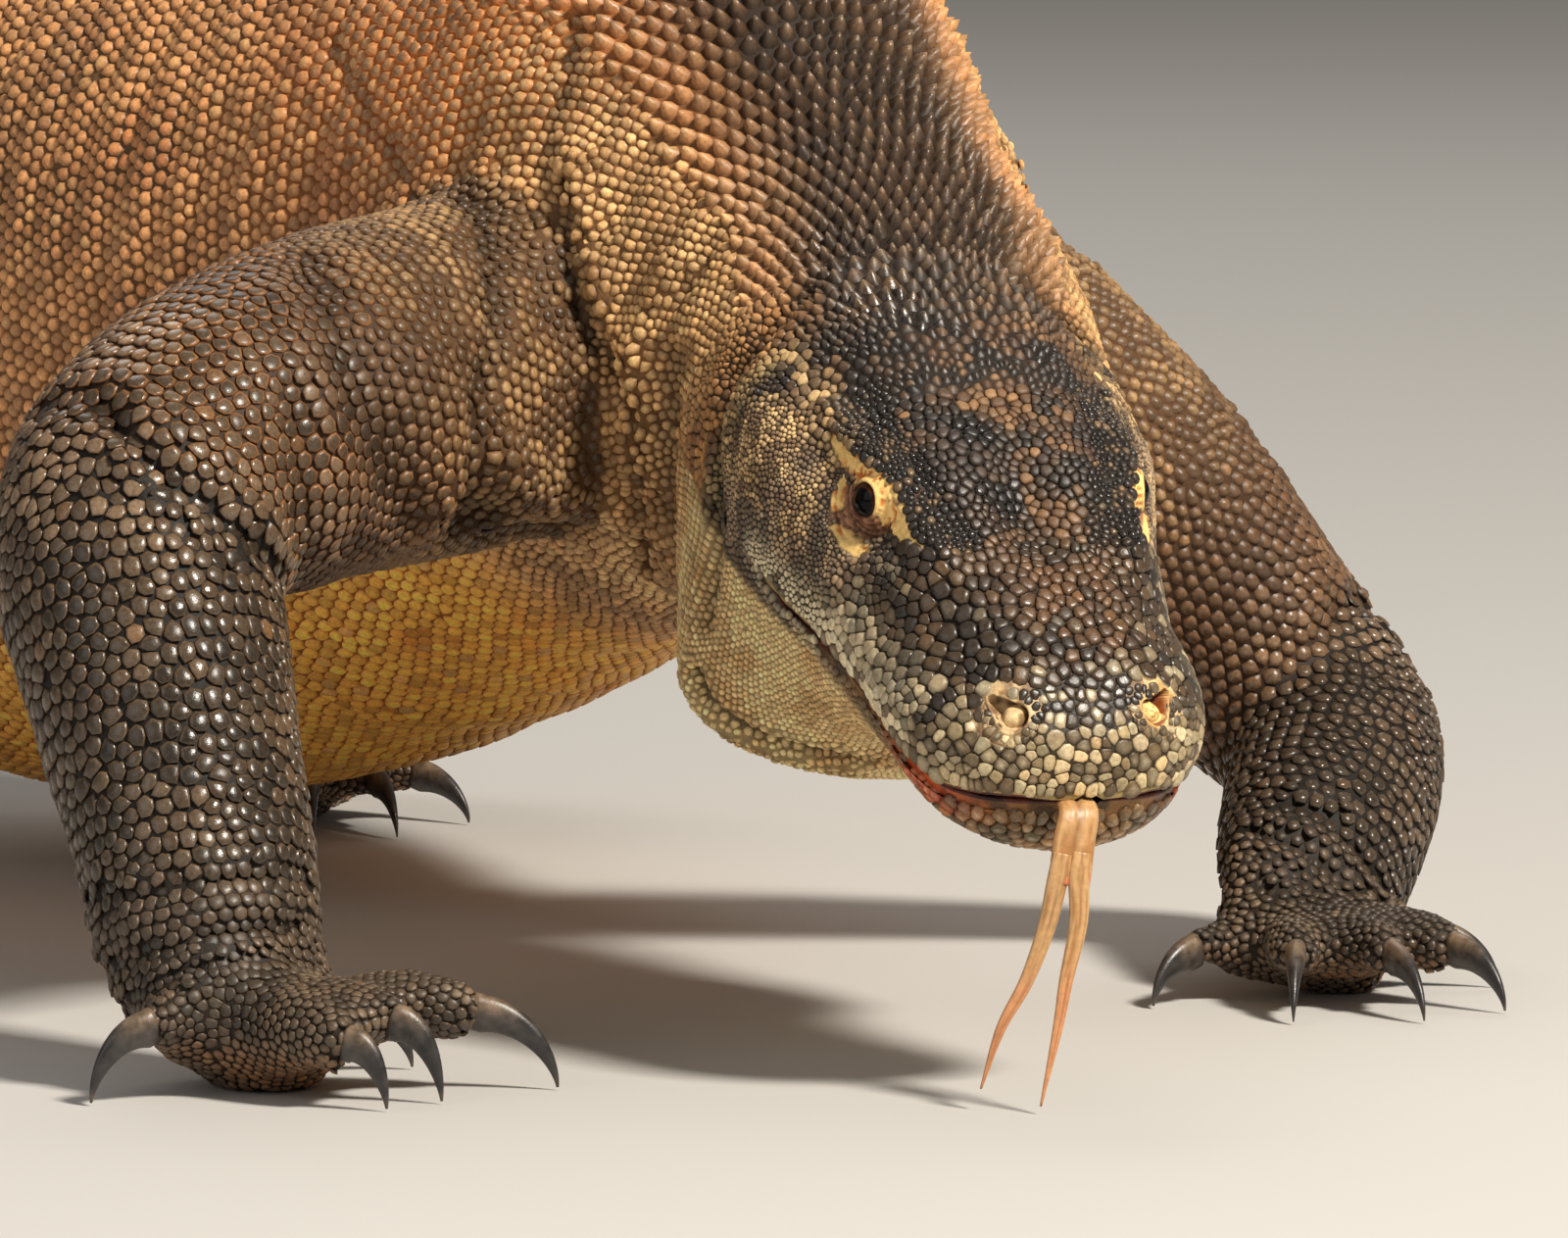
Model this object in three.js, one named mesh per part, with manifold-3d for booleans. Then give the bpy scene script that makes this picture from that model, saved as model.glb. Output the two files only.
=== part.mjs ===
// Komodo dragon (Varanus komodoensis), life-size still model, about 2.4 m from snout to tail tip.
// Millimetres, +Z up, floor at z = 0. The animal faces -Y and its right side is on -X.
// One long axial loft makes head, neck, trunk and tail; each limb is a second loft with a hand
// or foot of five toes. The lofts are then parted where a person would name the pieces.
import * as THREE from "three";
import { mergeVertices } from "three/addons/utils/BufferGeometryUtils.js";
import Module from "manifold-3d";

const wasm = await Module();
wasm.setup();
const { Manifold, Mesh: SolidMesh } = wasm;

// ---------------------------------------------------------------- driving sizes
const GAP = 0.35; // clearance between neighbouring pieces
const SNOUT = [-48.5, -692.5, 105]; // front of the upper lip, on the mouth line
const HEAD_YAW = 9.8; // the head turns this far to the animal's right
const HEAD_PITCH = 30; // and its mouth line dips this far below the horizon
const EYE = { a: 117, l: 43, h: 42, r: 10.2 }; // eyeball centre in head coordinates and radius
const MOUTH_CORNER = 142; // how far behind the snout the mouth runs
const ORIGIN = [-34.5, 464]; // floor point under the middle of the whole animal, moved to the origin at the end

// Head sections: distance behind the snout, half width, height above and depth below the mouth line, squareness above and below.
const HEAD = [
  [0, 6, 4, 6, 2.0, 2.0],
  [1.5, 18, 10, 14, 2.0, 2.0],
  [4, 27.5, 15, 22, 2.1, 2.0],
  [9, 36, 21, 28.5, 2.2, 2.1],
  [16, 43.5, 26, 33, 2.25, 2.2],
  [28, 51, 32, 36.5, 2.2, 2.2],
  [45, 55, 37, 39, 2.15, 2.2],
  [65, 56.5, 43, 41, 2.15, 2.2],
  [88, 59, 52, 47, 2.25, 2.2],
  [112, 63, 61, 62, 2.35, 2.2],
  [140, 68, 67, 93, 2.4, 2.2],
  [170, 72, 71, 111, 2.3, 2.3],
  [200, 74, 74, 114, 2.2, 2.3],
];
// Neck, trunk and tail sections: centre x, y, z, half width, height above, depth below, squareness above and below.
const BODY = [
  [-4, -478, 228, 79, 79, 114, 2.1, 2.2],
  [0, -425, 248, 85, 97, 118, 2.05, 2.0],
  [2, -355, 266, 104, 142, 132, 2.0, 2.0],
  [2, -260, 264, 126, 156, 150, 2.0, 2.0],
  [2, -140, 246, 163, 172, 172, 2.1, 2.0],
  [0, 0, 234, 186, 182, 194, 2.2, 2.05],
  [-6, 130, 240, 181, 174, 207, 2.2, 2.1],
  [-18, 250, 250, 150, 150, 166, 2.15, 2.1],
  [-30, 350, 256, 116, 126, 128, 2.1, 2.05],
  [-27, 450, 233, 88, 102, 100, 2.1, 2.0],
  [-14, 570, 183, 67, 84, 80, 2.0, 2.0],
  [14, 700, 122, 54, 72, 68, 2.0, 2.0],
  [38, 830, 74, 45, 63, 60, 2.0, 2.0],
  [46, 960, 49, 37, 54, 51, 2.0, 2.0],
  [30, 1100, 40, 29, 45, 42, 2.0, 2.0],
  [-14, 1240, 32, 21, 35, 33.5, 2.0, 2.0],
  [-70, 1370, 24, 14.5, 26, 25.5, 2.0, 2.0],
  [-112, 1480, 17, 9, 17.5, 18, 2.0, 2.0],
  [-136, 1580, 10, 4.5, 10, 10.8, 2.0, 2.0],
  [-142, 1636, 6.5, 2.2, 5, 6.4, 2.0, 2.0],
];
// Muscle and bone relief on the head: centre a, l, h, radii along a, l, h, and how far it lifts the surface.
const RELIEF = [
  [118, 48, 58, 24, 11, 11, 6.0], // brow ridge
  [80, 40, 42, 26, 10, 9, 3.0], // ridge from brow to nostril
  [115, 60, 34, 17, 14, 13, -5.0], // eye socket
  [80, 54, 20, 18, 12, 10, -3.0], // hollow in front of the eye
  [158, 70, 8, 34, 22, 26, 5.0], // jaw muscle
  [158, 52, 66, 26, 14, 14, -3.0], // hollow over the temple
  [98, 0, 56, 26, 13, 14, -3.5], // dip between the brows
  [30, 24, 30, 12, 10, 9, 2.5], // nostril swelling
  [190, 34, 76, 24, 20, 16, 4.0], // back of the skull
  [204, 74, 30, 7, 24, 26, -4.0], // ear groove
  [52, 50, 7, 40, 14, 8, 2.0], // upper lip
  [182, 70, -76, 44, 40, 34, 19.0], // throat skin hanging beside the jaw
];
// Limb lofts: section centre x, y, z and radii along the two section axes; the rows are parted at the two cuts.
// Digits count from the outer one: direction and reach of the toe, direction and reach of its claw, radius, height of the claw's root.
// Directions are degrees outwards from straight ahead.
const LIMBS = {
  fore_right: {
    side: [0.55, -0.8, 0.2],
    rows: [
      [-66, -345, 236, 62, 66],
      [-116, -362, 228, 62, 64],
      [-168, -384, 224, 60, 62],
      [-222, -404, 214, 57, 59],
      [-262, -418, 196, 53, 55],
      [-277, -432, 172, 50, 52],
      [-279, -446, 146, 48, 49],
      [-279, -460, 117, 45, 47],
      [-279, -474, 88, 42, 44],
      [-280, -488, 58, 40, 43],
      [-280, -499, 34, 34, 45],
      [-279, -511, 20, 22, 45],
      [-276, -532, 15, 14, 36],
    ],
    cuts: [3.9, 9.35],
    palm: [-284, -506, 20],
    digits: [
      [60, 46, 100, 20, 12, 25],
      [-9, 74, -40, 13, 15, 22],
      [-27, 74, -52, 15, 13, 27],
      [-56, 90, -60, 26, 13, 26],
      [-98, 58, -92, 22, 11, 22],
    ],
  },
  fore_left: {
    side: [0.75, 0.6, 0.2],
    rows: [
      [66, -335, 250, 60, 66],
      [116, -338, 216, 60, 64],
      [164, -342, 180, 56, 58],
      [208, -345, 138, 51, 52],
      [236, -350, 106, 46, 46],
      [250, -366, 86, 43, 42],
      [242, -390, 71, 42, 40],
      [224, -414, 57, 41, 38],
      [206, -434, 44, 40, 34],
      [192, -450, 33, 40, 28],
      [180, -464, 24, 40, 20],
      [170, -476, 17, 38, 15],
      [160, -488, 14, 32, 12],
    ],
    cuts: [4.3, 8.7],
    palm: [180, -462, 20],
    digits: [
      [66, 52, 60, 22, 11, 18],
      [18, 76, 12, 24, 12.5, 20],
      [-6, 80, -8, 26, 12, 20],
      [-32, 76, -34, 24, 11.5, 20],
      [-74, 56, -74, 20, 10.5, 18],
    ],
    mirror: true,
  },
  hind_left: {
    side: [-0.2, 1, 0.2],
    rows: [
      [30, 345, 256, 78, 84],
      [92, 322, 250, 76, 80],
      [154, 290, 236, 68, 70],
      [208, 258, 216, 58, 58],
      [240, 244, 188, 52, 52],
      [242, 252, 154, 49, 50],
      [222, 268, 118, 44, 47],
      [196, 284, 80, 38, 42],
      [176, 288, 48, 34, 42],
      [158, 268, 27, 26, 42],
      [138, 238, 18, 19, 44],
      [120, 210, 15, 13, 38],
    ],
    cuts: [3.9, 7.9],
    palm: [136, 232, 20],
    digits: [
      [30, 60, 24, 24, 11, 18],
      [-4, 80, -10, 26, 12, 20],
      [-24, 86, -26, 27, 12, 20],
      [-46, 80, -46, 26, 12, 20],
      [-80, 60, -78, 24, 11, 18],
    ],
    mirror: true,
  },
  hind_right: {
    side: [-0.2, 1, 0.2],
    rows: [
      [-88, 350, 252, 78, 84],
      [-140, 342, 244, 76, 80],
      [-192, 340, 226, 68, 70],
      [-236, 350, 200, 58, 58],
      [-262, 370, 170, 53, 52],
      [-270, 400, 138, 49, 50],
      [-272, 430, 106, 44, 46],
      [-272, 456, 72, 38, 42],
      [-272, 466, 44, 34, 42],
      [-276, 452, 26, 26, 42],
      [-284, 426, 18, 19, 44],
      [-290, 398, 15, 13, 38],
    ],
    cuts: [3.9, 7.9],
    palm: [-286, 420, 20],
    digits: [
      [70, 58, 66, 24, 11, 18],
      [30, 78, 26, 26, 12, 20],
      [8, 84, 6, 27, 12, 20],
      [-14, 76, -16, 26, 12, 20],
      [-48, 60, -48, 24, 11, 18],
    ],
  },
};

// ---------------------------------------------------------------- small maths
const V = (a) => new THREE.Vector3(a[0], a[1], a[2]);
const clamp = (x, a, b) => Math.min(b, Math.max(a, x));
// Cubic through table rows keyed by ks, with finite-difference slopes.
function cubic(ks, rows, k) {
  const n = ks.length;
  let i = 0;
  while (i < n - 2 && k > ks[i + 1]) i++;
  const h = ks[i + 1] - ks[i];
  const t = (k - ks[i]) / h;
  const slope = (j, c) => {
    const a = Math.max(0, j - 1);
    const b = Math.min(n - 1, j + 1);
    return (rows[b][c] - rows[a][c]) / (ks[b] - ks[a]);
  };
  return rows[i].map((p0, c) => {
    const p1 = rows[i + 1][c];
    const m0 = slope(i, c) * h;
    const m1 = slope(i + 1, c) * h;
    return (
      (2 * t ** 3 - 3 * t ** 2 + 1) * p0 +
      (t ** 3 - 2 * t ** 2 + t) * m0 +
      (-2 * t ** 3 + 3 * t ** 2) * p1 +
      (t ** 3 - t ** 2) * m1
    );
  });
}

// ---------------------------------------------------------------- axial loft
const yaw = THREE.MathUtils.degToRad(HEAD_YAW);
const pitch = THREE.MathUtils.degToRad(HEAD_PITCH);
const HD = new THREE.Vector3(-Math.sin(yaw) * Math.cos(pitch), -Math.cos(yaw) * Math.cos(pitch), -Math.sin(pitch));
const HU = new THREE.Vector3(0, 0, 1).addScaledVector(HD, -HD.z).normalize();
const HL = new THREE.Vector3().crossVectors(HU, HD);
const headPoint = (a, l, h) => V(SNOUT).addScaledVector(HD, -a).addScaledVector(HL, l).addScaledVector(HU, h);

const AXIS = [
  ...HEAD.map(([a, w, hu, hd, nu, nd]) => [...headPoint(a, 0, 0).toArray(), w, hu, hd, nu, nd]),
  ...BODY,
];
const AXIS_S = [0];
for (let i = 1; i < AXIS.length; i++) AXIS_S.push(AXIS_S[i - 1] + V(AXIS[i]).distanceTo(V(AXIS[i - 1])));
const AXIS_END = AXIS_S[AXIS_S.length - 1];

function axialFrame(s) {
  const row = cubic(AXIS_S, AXIS, s);
  const e = 2;
  const a = cubic(AXIS_S, AXIS, clamp(s - e, 0, AXIS_END));
  const b = cubic(AXIS_S, AXIS, clamp(s + e, 0, AXIS_END));
  const back = V(b).sub(V(a)).normalize();
  const up = new THREE.Vector3(0, 0, 1).addScaledVector(back, -back.z).normalize();
  const left = new THREE.Vector3().crossVectors(back, up);
  return { row, centre: V(row), back, up, left };
}
function relief(s, l, h) {
  let sum = 0;
  for (const [a0, l0, h0, ra, rl, rh, d] of RELIEF) {
    const q = ((s - a0) / ra) ** 2 + ((Math.abs(l) - l0) / rl) ** 2 + ((h - h0) / rh) ** 2;
    if (q < 9) sum += d * Math.exp(-q);
  }
  return sum;
}
const power = (v, n) => Math.sign(v) * Math.abs(v) ** (2 / n);
function axialRing(s, count, grow) {
  const { row, centre, up, left } = axialFrame(s);
  const [, , , w, hu, hd, nu, nd] = row;
  const ring = [];
  for (let i = 0; i < count; i++) {
    const f = (2 * Math.PI * i) / count;
    const c = Math.cos(f);
    const n = c >= 0 ? nu : nd;
    let l = w * power(Math.sin(f), n);
    let h = (c >= 0 ? hu : hd) * power(c, n);
    const r = Math.hypot(l, h);
    const k = (r + grow + (s < 235 ? relief(s, l, h) : 0)) / r;
    l *= k;
    h *= k;
    ring.push(centre.clone().addScaledVector(left, l).addScaledVector(up, h));
  }
  return ring;
}

// ---------------------------------------------------------------- limb loft
function limbFrame(limb, k) {
  const rows = limb.rows;
  const ks = rows.map((_, i) => i);
  const row = cubic(ks, rows, k);
  const a = cubic(ks, rows, clamp(k - 0.05, 0, rows.length - 1));
  const b = cubic(ks, rows, clamp(k + 0.05, 0, rows.length - 1));
  const along = V(b).sub(V(a)).normalize();
  const first = V(limb.side).addScaledVector(along, -V(limb.side).dot(along)).normalize();
  const second = new THREE.Vector3().crossVectors(along, first);
  return { row, along, first, second };
}
function limbRing(limb, k, count, grow) {
  const { row, first, second } = limbFrame(limb, k);
  return Array.from({ length: count }, (_, i) => {
    const f = (2 * Math.PI * i) / count;
    return V(row)
      .addScaledVector(first, (row[3] + grow) * Math.cos(f))
      .addScaledVector(second, (row[4] + grow) * Math.sin(f));
  });
}

// ---------------------------------------------------------------- closed bodies from rings
function skinOf(rings, capStart = true, capEnd = true) {
  const n = rings[0].length;
  const pos = [];
  for (const ring of rings) for (const p of ring) pos.push(p.x, p.y, p.z);
  const index = [];
  for (let r = 0; r + 1 < rings.length; r++)
    for (let i = 0; i < n; i++) {
      const j = (i + 1) % n;
      const a = r * n + i;
      const b = r * n + j;
      index.push(a, b, a + n, b, b + n, a + n);
    }
  const cap = (r, flip) => {
    const c = new THREE.Vector3();
    rings[r].forEach((p) => c.add(p));
    c.divideScalar(n);
    const at = pos.length / 3;
    pos.push(c.x, c.y, c.z);
    for (let i = 0; i < n; i++) {
      const a = r * n + i;
      const b = r * n + ((i + 1) % n);
      if (flip) index.push(at, b, a);
      else index.push(at, a, b);
    }
  };
  if (capStart) cap(0, true);
  if (capEnd) cap(rings.length - 1, false);
  const g = new THREE.BufferGeometry();
  g.setAttribute("position", new THREE.Float32BufferAttribute(pos, 3));
  g.setIndex(index);
  return g;
}
function solid(geometry) {
  const g = geometry.clone();
  for (const key of Object.keys(g.attributes)) if (key !== "position") g.deleteAttribute(key);
  const m = mergeVertices(g, 1e-3);
  let made = new Manifold(
    new SolidMesh({ numProp: 3, vertProperties: m.attributes.position.array, triVerts: new Uint32Array(m.index.array) }),
  );
  if (made.volume() < 0) {
    const t = new Uint32Array(m.index.array);
    for (let i = 0; i < t.length; i += 3) [t[i + 1], t[i + 2]] = [t[i + 2], t[i + 1]];
    made = new Manifold(new SolidMesh({ numProp: 3, vertProperties: m.attributes.position.array, triVerts: t }));
  }
  return made;
}
function geometryOf(s) {
  const m = s.getMesh();
  const g = new THREE.BufferGeometry();
  g.setAttribute("position", new THREE.BufferAttribute(new Float32Array(m.vertProperties), 3));
  g.setIndex(new THREE.BufferAttribute(new Uint32Array(m.triVerts), 1));
  g.computeVertexNormals();
  return g;
}
const largest = (s) => s.decompose().sort((a, b) => b.volume() - a.volume())[0];
// A box given in head coordinates.
function headBox(a0, a1, l0, l1, h0, h1) {
  const g = new THREE.BoxGeometry(a1 - a0, l1 - l0, h1 - h0);
  const m = new THREE.Matrix4().makeBasis(HD.clone().negate(), HL.clone(), HU.clone());
  m.setPosition(headPoint((a0 + a1) / 2, (l0 + l1) / 2, (h0 + h1) / 2));
  return solid(g.applyMatrix4(m));
}
const floorBox = solid(new THREE.BoxGeometry(4000, 6000, 400).translate(0, 300, -200));

const steps = (from, to, n) => Array.from({ length: n + 1 }, (_, i) => from + ((to - from) * i) / n);
const slide = (ring, dir, d) => ring.map((p) => p.clone().addScaledVector(dir, d));
// A length of the axial loft; its front ring is set back by `clear` so that it stays off the piece before it.
function axial(list, count, grow = 0, clear = 0) {
  const rings = list.map((s) => axialRing(s, count, grow));
  if (clear) rings[0] = slide(rings[0], axialFrame(list[0]).back, clear);
  return solid(skinOf(rings));
}

// ---------------------------------------------------------------- head, jaw, tongue, eyes
const HEAD_END = 212;
const headRings = [0.6, 2, 4.5, 8, 13, 20, 30, 42, 55, 68, 80, 90, 99, 108, 118, 130, 144, 158, 172, 186, 200, HEAD_END];
const headWhole = axial(headRings, 30);
// Line of the mouth: distance behind the snout and height. The upper lip hangs over the lower behind the front of the snout.
const LIP_LINE = [
  [-12, -1.2],
  [3, -2.2],
  [10, -5.5],
  [20, -8.5],
  [42, -9.5],
  [90, -8.5],
  [125, -8.5],
];
const jawCutter = (gap) => {
  const shape = new THREE.Shape();
  shape.moveTo(-12, -170);
  for (const [a, h] of LIP_LINE) shape.lineTo(a, h + gap);
  shape.lineTo(MOUTH_CORNER + gap, LIP_LINE[LIP_LINE.length - 1][1] + gap);
  shape.lineTo(MOUTH_CORNER + 14 + gap, -28);
  shape.lineTo(MOUTH_CORNER + 14 + gap, -170);
  const g = new THREE.ExtrudeGeometry(shape, { depth: 240, bevelEnabled: false });
  const m = new THREE.Matrix4().makeBasis(HD.clone().negate(), HU.clone(), HL.clone().negate());
  m.setPosition(headPoint(0, 120, 0));
  return solid(g.applyMatrix4(m));
};
// Tongue: a flat ribbon out of the mouth that forks into two tapering tips.
const TONGUE = [
  [26, -4, -7.5, 6.5, 2.4],
  [10, -4, -4.8, 7.0, 2.4],
];
const tongueRing = (p, along, wide, w, t, count) => {
  const second = new THREE.Vector3().crossVectors(along, wide).normalize();
  return Array.from({ length: count }, (_, i) => {
    const f = (2 * Math.PI * i) / count;
    return p.clone().addScaledVector(wide, w * Math.cos(f)).addScaledVector(second, t * Math.sin(f));
  });
};
const tonguePath = (pts, count, grow = 0) =>
  pts.map((q, i) => {
    const a = V(pts[Math.max(0, i - 1)]);
    const b = V(pts[Math.min(pts.length - 1, i + 1)]);
    const along = b.sub(a).normalize();
    const wide = HL.clone().addScaledVector(along, -HL.dot(along)).normalize();
    return tongueRing(V(q), along, wide, q[3] + grow, q[4] + grow, count);
  });
const down = (p, dx, dy, dz, w, t) => [p.x + dx, p.y + dy, p.z + dz, w, t];
const lip = headPoint(-3, -4, -3);
const stemPts = [
  ...TONGUE.map(([a, l, h, w, t]) => [...headPoint(a, l, h).toArray(), w, t]),
  down(lip, 0, 0, 0, 7.1, 2.3),
  down(lip, -3.5, -3, -10.1, 7.6, 2.2),
  down(lip, -5.3, -4, -18.9, 7.7, 2.1),
  down(lip, -7, -5, -26.5, 7.2, 2.0),
];
const tineRight = [
  down(lip, -10.6, -4, -22.5, 3.9, 2.0),
  down(lip, -13.7, -2, -38.7, 3.3, 1.9),
  down(lip, -20.3, 0, -56.9, 2.6, 1.7),
  down(lip, -28.9, 3, -73.5, 1.9, 1.3),
  down(lip, -34.3, 7, -94, 0.6, 0.6),
];
const tineLeft = [
  down(lip, -3.6, -6, -22.5, 3.9, 2.0),
  down(lip, -5.2, -8.5, -37.9, 3.3, 1.9),
  down(lip, -11.1, -10.5, -56.4, 2.5, 1.6),
  down(lip, -15.4, -12, -72.7, 1.9, 1.2),
  down(lip, -22.3, -12.5, -98.6, 0.6, 0.6),
];
const tongueSolid = (grow) =>
  [stemPts, tineRight, tineLeft].map((p) => solid(skinOf(tonguePath(p, 8, grow)))).reduce((a, b) => a.add(b));
const tongue = largest(tongueSolid(0));
const tongueSlot = tongueSolid(GAP);

const eyes = {};
for (const [name, sign] of [["eye_right", -1], ["eye_left", 1]]) {
  const c = headPoint(EYE.a, sign * EYE.l, EYE.h);
  const ball = (r) => solid(new THREE.SphereGeometry(r, 12, 8).rotateX(Math.PI / 2).translate(c.x, c.y, c.z));
  eyes[name] = { ball: ball(EYE.r), slot: ball(EYE.r + GAP) };
}
const sockets = eyes.eye_right.slot.add(eyes.eye_left.slot);
// Each socket opens to the outside through the lids.
const lidOpening = [-1, 1]
  .map((sign) => {
    const from = headPoint(EYE.a, sign * EYE.l, EYE.h);
    const to = headPoint(EYE.a - 6, sign * (EYE.l + 26), EYE.h + 2);
    const g = new THREE.CylinderGeometry(9, 7.6, from.distanceTo(to), 12).translate(0, from.distanceTo(to) / 2, 0);
    const q = new THREE.Quaternion().setFromUnitVectors(new THREE.Vector3(0, 1, 0), to.clone().sub(from).normalize());
    return solid(g.applyQuaternion(q).translate(from.x, from.y, from.z));
  })
  .reduce((a, b) => a.add(b));

// ---------------------------------------------------------------- trunk and tail
// Lengths: from, to, number of rings after the first, points round the ring.
const LENGTHS = {
  neck: [HEAD_END, 392, 7, 24],
  thorax: [392, 660, 5, 24],
  abdomen: [660, 950, 5, 24],
  pelvis: [950, 1160, 4, 24],
  tail_base: [1160, 1420, 5, 16],
  tail_mid: [1420, 1690, 5, 14],
  tail_rear: [1690, 1960, 5, 14],
  tail_tip: [1960, AXIS_END - 1, 6, 12],
};
const trunkParts = {};
for (const [name, [from, to, n, count]] of Object.entries(LENGTHS))
  trunkParts[name] = axial(steps(from, to, n), count, 0, GAP).subtract(floorBox);

// ---------------------------------------------------------------- limbs with toes and claws
const limbCutter = ["neck", "thorax", "abdomen", "pelvis", "tail_base"]
  .map((name) => LENGTHS[name])
  .map(([from, to, n, count]) => axial(steps(from, to, n), count, GAP))
  .reduce((a, b) => a.add(b));
const parts = {};
const claws = {};
// A toe as a tube over a knuckle, from inside the palm to the claw's root, and its claw as a curved cone down to the floor.
function toe(limb, digit) {
  const [ang, len, clawAng, clawReach, r, rootZ] = digit;
  const side = limb.mirror ? 1 : -1;
  const dir = (deg) => {
    const f = THREE.MathUtils.degToRad(deg);
    return new THREE.Vector3(side * Math.sin(f), -Math.cos(f), 0);
  };
  const d = dir(ang);
  const c = dir(clawAng);
  const p = V(limb.palm);
  const end = p.clone().addScaledVector(d, len).setZ(rootZ);
  const spine = [
    p.clone().addScaledVector(d, len * 0.1).setZ(20),
    p.clone().addScaledVector(d, len * 0.36).setZ(20),
    p.clone().addScaledVector(d, len * 0.66).setZ(rootZ + r * 0.25),
    end,
  ];
  const ahead = c.clone().setZ(-0.55).normalize();
  const radii = [r * 1.25, r * 1.15, r * 1.05, r * 0.8];
  const rings = spine.map((q, i) => {
    const a = spine[Math.max(0, i - 1)];
    const b = spine[Math.min(3, i + 1)];
    const along = b.clone().sub(a).normalize();
    if (i === 3) along.add(ahead).normalize();
    const second = new THREE.Vector3(0, 0, 1).addScaledVector(along, -along.z).normalize();
    const first = new THREE.Vector3().crossVectors(along, second);
    return Array.from({ length: 8 }, (_, k) => {
      const f = (2 * Math.PI * (k + 0.5)) / 8;
      return q.clone().addScaledVector(first, radii[i] * 1.04 * Math.cos(f)).addScaledVector(second, radii[i] * Math.sin(f));
    });
  });
  const lastAlong = spine[3].clone().sub(spine[2]).normalize().add(ahead).normalize();
  const tipZ = 0.8;
  const clawRings = [0, 0.35, 0.7, 1].map((t) => {
    const at = (u) =>
      end
        .clone()
        .addScaledVector(lastAlong, GAP)
        .addScaledVector(c, clawReach * (1 - (1 - u) ** 1.5))
        .add(new THREE.Vector3(0, 0, -(rootZ - tipZ) * u ** 1.7));
    const q = at(t);
    const along = t === 0 ? lastAlong.clone() : at(Math.min(1, t + 0.05)).sub(at(t - 0.05)).normalize();
    const second = new THREE.Vector3(0, 0, 1).addScaledVector(along, -along.z).normalize();
    const first = new THREE.Vector3().crossVectors(along, second);
    const k = 1 - 0.88 * t ** 1.2;
    return Array.from({ length: 6 }, (_, j) => {
      const f = (2 * Math.PI * j) / 6;
      return q.clone().addScaledVector(first, 4.8 * k * Math.cos(f)).addScaledVector(second, 7 * k * Math.sin(f));
    });
  });
  return { toe: solid(skinOf(rings)), claw: solid(skinOf(clawRings)) };
}
const NAMES = { fore: ["upper_arm", "forearm", "hand"], hind: ["thigh", "shank", "foot"] };
for (const [key, limb] of Object.entries(LIMBS)) {
  const last = limb.rows.length - 1;
  const [k1, k2] = limb.cuts;
  const [kind, side] = key.split("_");
  const between = (from, to, n) => solid(skinOf(steps(from, to, n).map((k) => limbRing(limb, k, 14, 0))));
  // The same length with its clearance, to cut the next one back from it.
  const cleared = (from, to, n) => {
    const rings = steps(from, to, n).map((k) => limbRing(limb, k, 14, GAP));
    rings[n] = slide(rings[n], limbFrame(limb, to).along, GAP);
    return solid(skinOf(rings));
  };
  const upper = between(0, k1, 6).subtract(limbCutter);
  const lower = between(k1, k2, 6).subtract(cleared(0, k1, 6)).subtract(limbCutter);
  let hand = between(k2, last, 5);
  limb.digits.forEach((digit, i) => {
    const made = toe(limb, digit);
    hand = hand.add(made.toe);
    claws[`${key}_claw_${5 - i}`] = made.claw;
  });
  // Nothing of the hand reaches back past the wrist.
  const back = solid(
    skinOf([
      limbRing(limb, k2 - 2.4, 14, 16),
      limbRing(limb, k2 - 1.2, 14, 16),
      slide(limbRing(limb, k2, 14, 16), limbFrame(limb, k2).along, GAP),
    ]),
  );
  hand = hand.subtract(back).subtract(cleared(k1, k2, 6)).subtract(floorBox);
  parts[`${NAMES[kind][0]}_${side}`] = largest(upper);
  parts[`${NAMES[kind][1]}_${side}`] = largest(lower);
  parts[`${NAMES[kind][2]}_${side}`] = largest(hand);
}

// ---------------------------------------------------------------- head pieces
const mouth = jawCutter(0);
const jaw = largest(headWhole.intersect(mouth).subtract(tongueSlot));
const head = largest(headWhole.subtract(jawCutter(1.4)).subtract(tongueSlot).subtract(sockets).subtract(lidOpening));

// ---------------------------------------------------------------- materials and assembly
const paint = (color, roughness, metalness = 0) => new THREE.MeshStandardMaterial({ color, roughness, metalness });
const MATERIALS = {
  head: paint(0x3d342c, 0.62),
  body: paint(0x7a5138, 0.72),
  limb: paint(0x4a4038, 0.6),
  jaw: paint(0x7d6c4e, 0.6),
  claw: paint(0x2c2b2c, 0.35),
  eye: paint(0x15100c, 0.12),
  tongue: paint(0xe2b07c, 0.38),
};
const dragon = new THREE.Group();
dragon.name = "komodo_dragon";
const put = (name, s, material) => {
  const mesh = new THREE.Mesh(geometryOf(s), material);
  mesh.name = name;
  dragon.add(mesh);
};
put("head", head, MATERIALS.head);
put("lower_jaw", jaw, MATERIALS.jaw);
put("tongue", tongue, MATERIALS.tongue);
put("eye_right", eyes.eye_right.ball, MATERIALS.eye);
put("eye_left", eyes.eye_left.ball, MATERIALS.eye);
for (const [name, s] of Object.entries(trunkParts)) put(name, s, MATERIALS.body);
for (const [name, s] of Object.entries(parts)) put(name, s, MATERIALS.limb);
for (const [name, s] of Object.entries(claws)) put(name, largest(s.subtract(floorBox)), MATERIALS.claw);

dragon.position.set(-ORIGIN[0], -ORIGIN[1], 0);

export default dragon;
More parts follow.
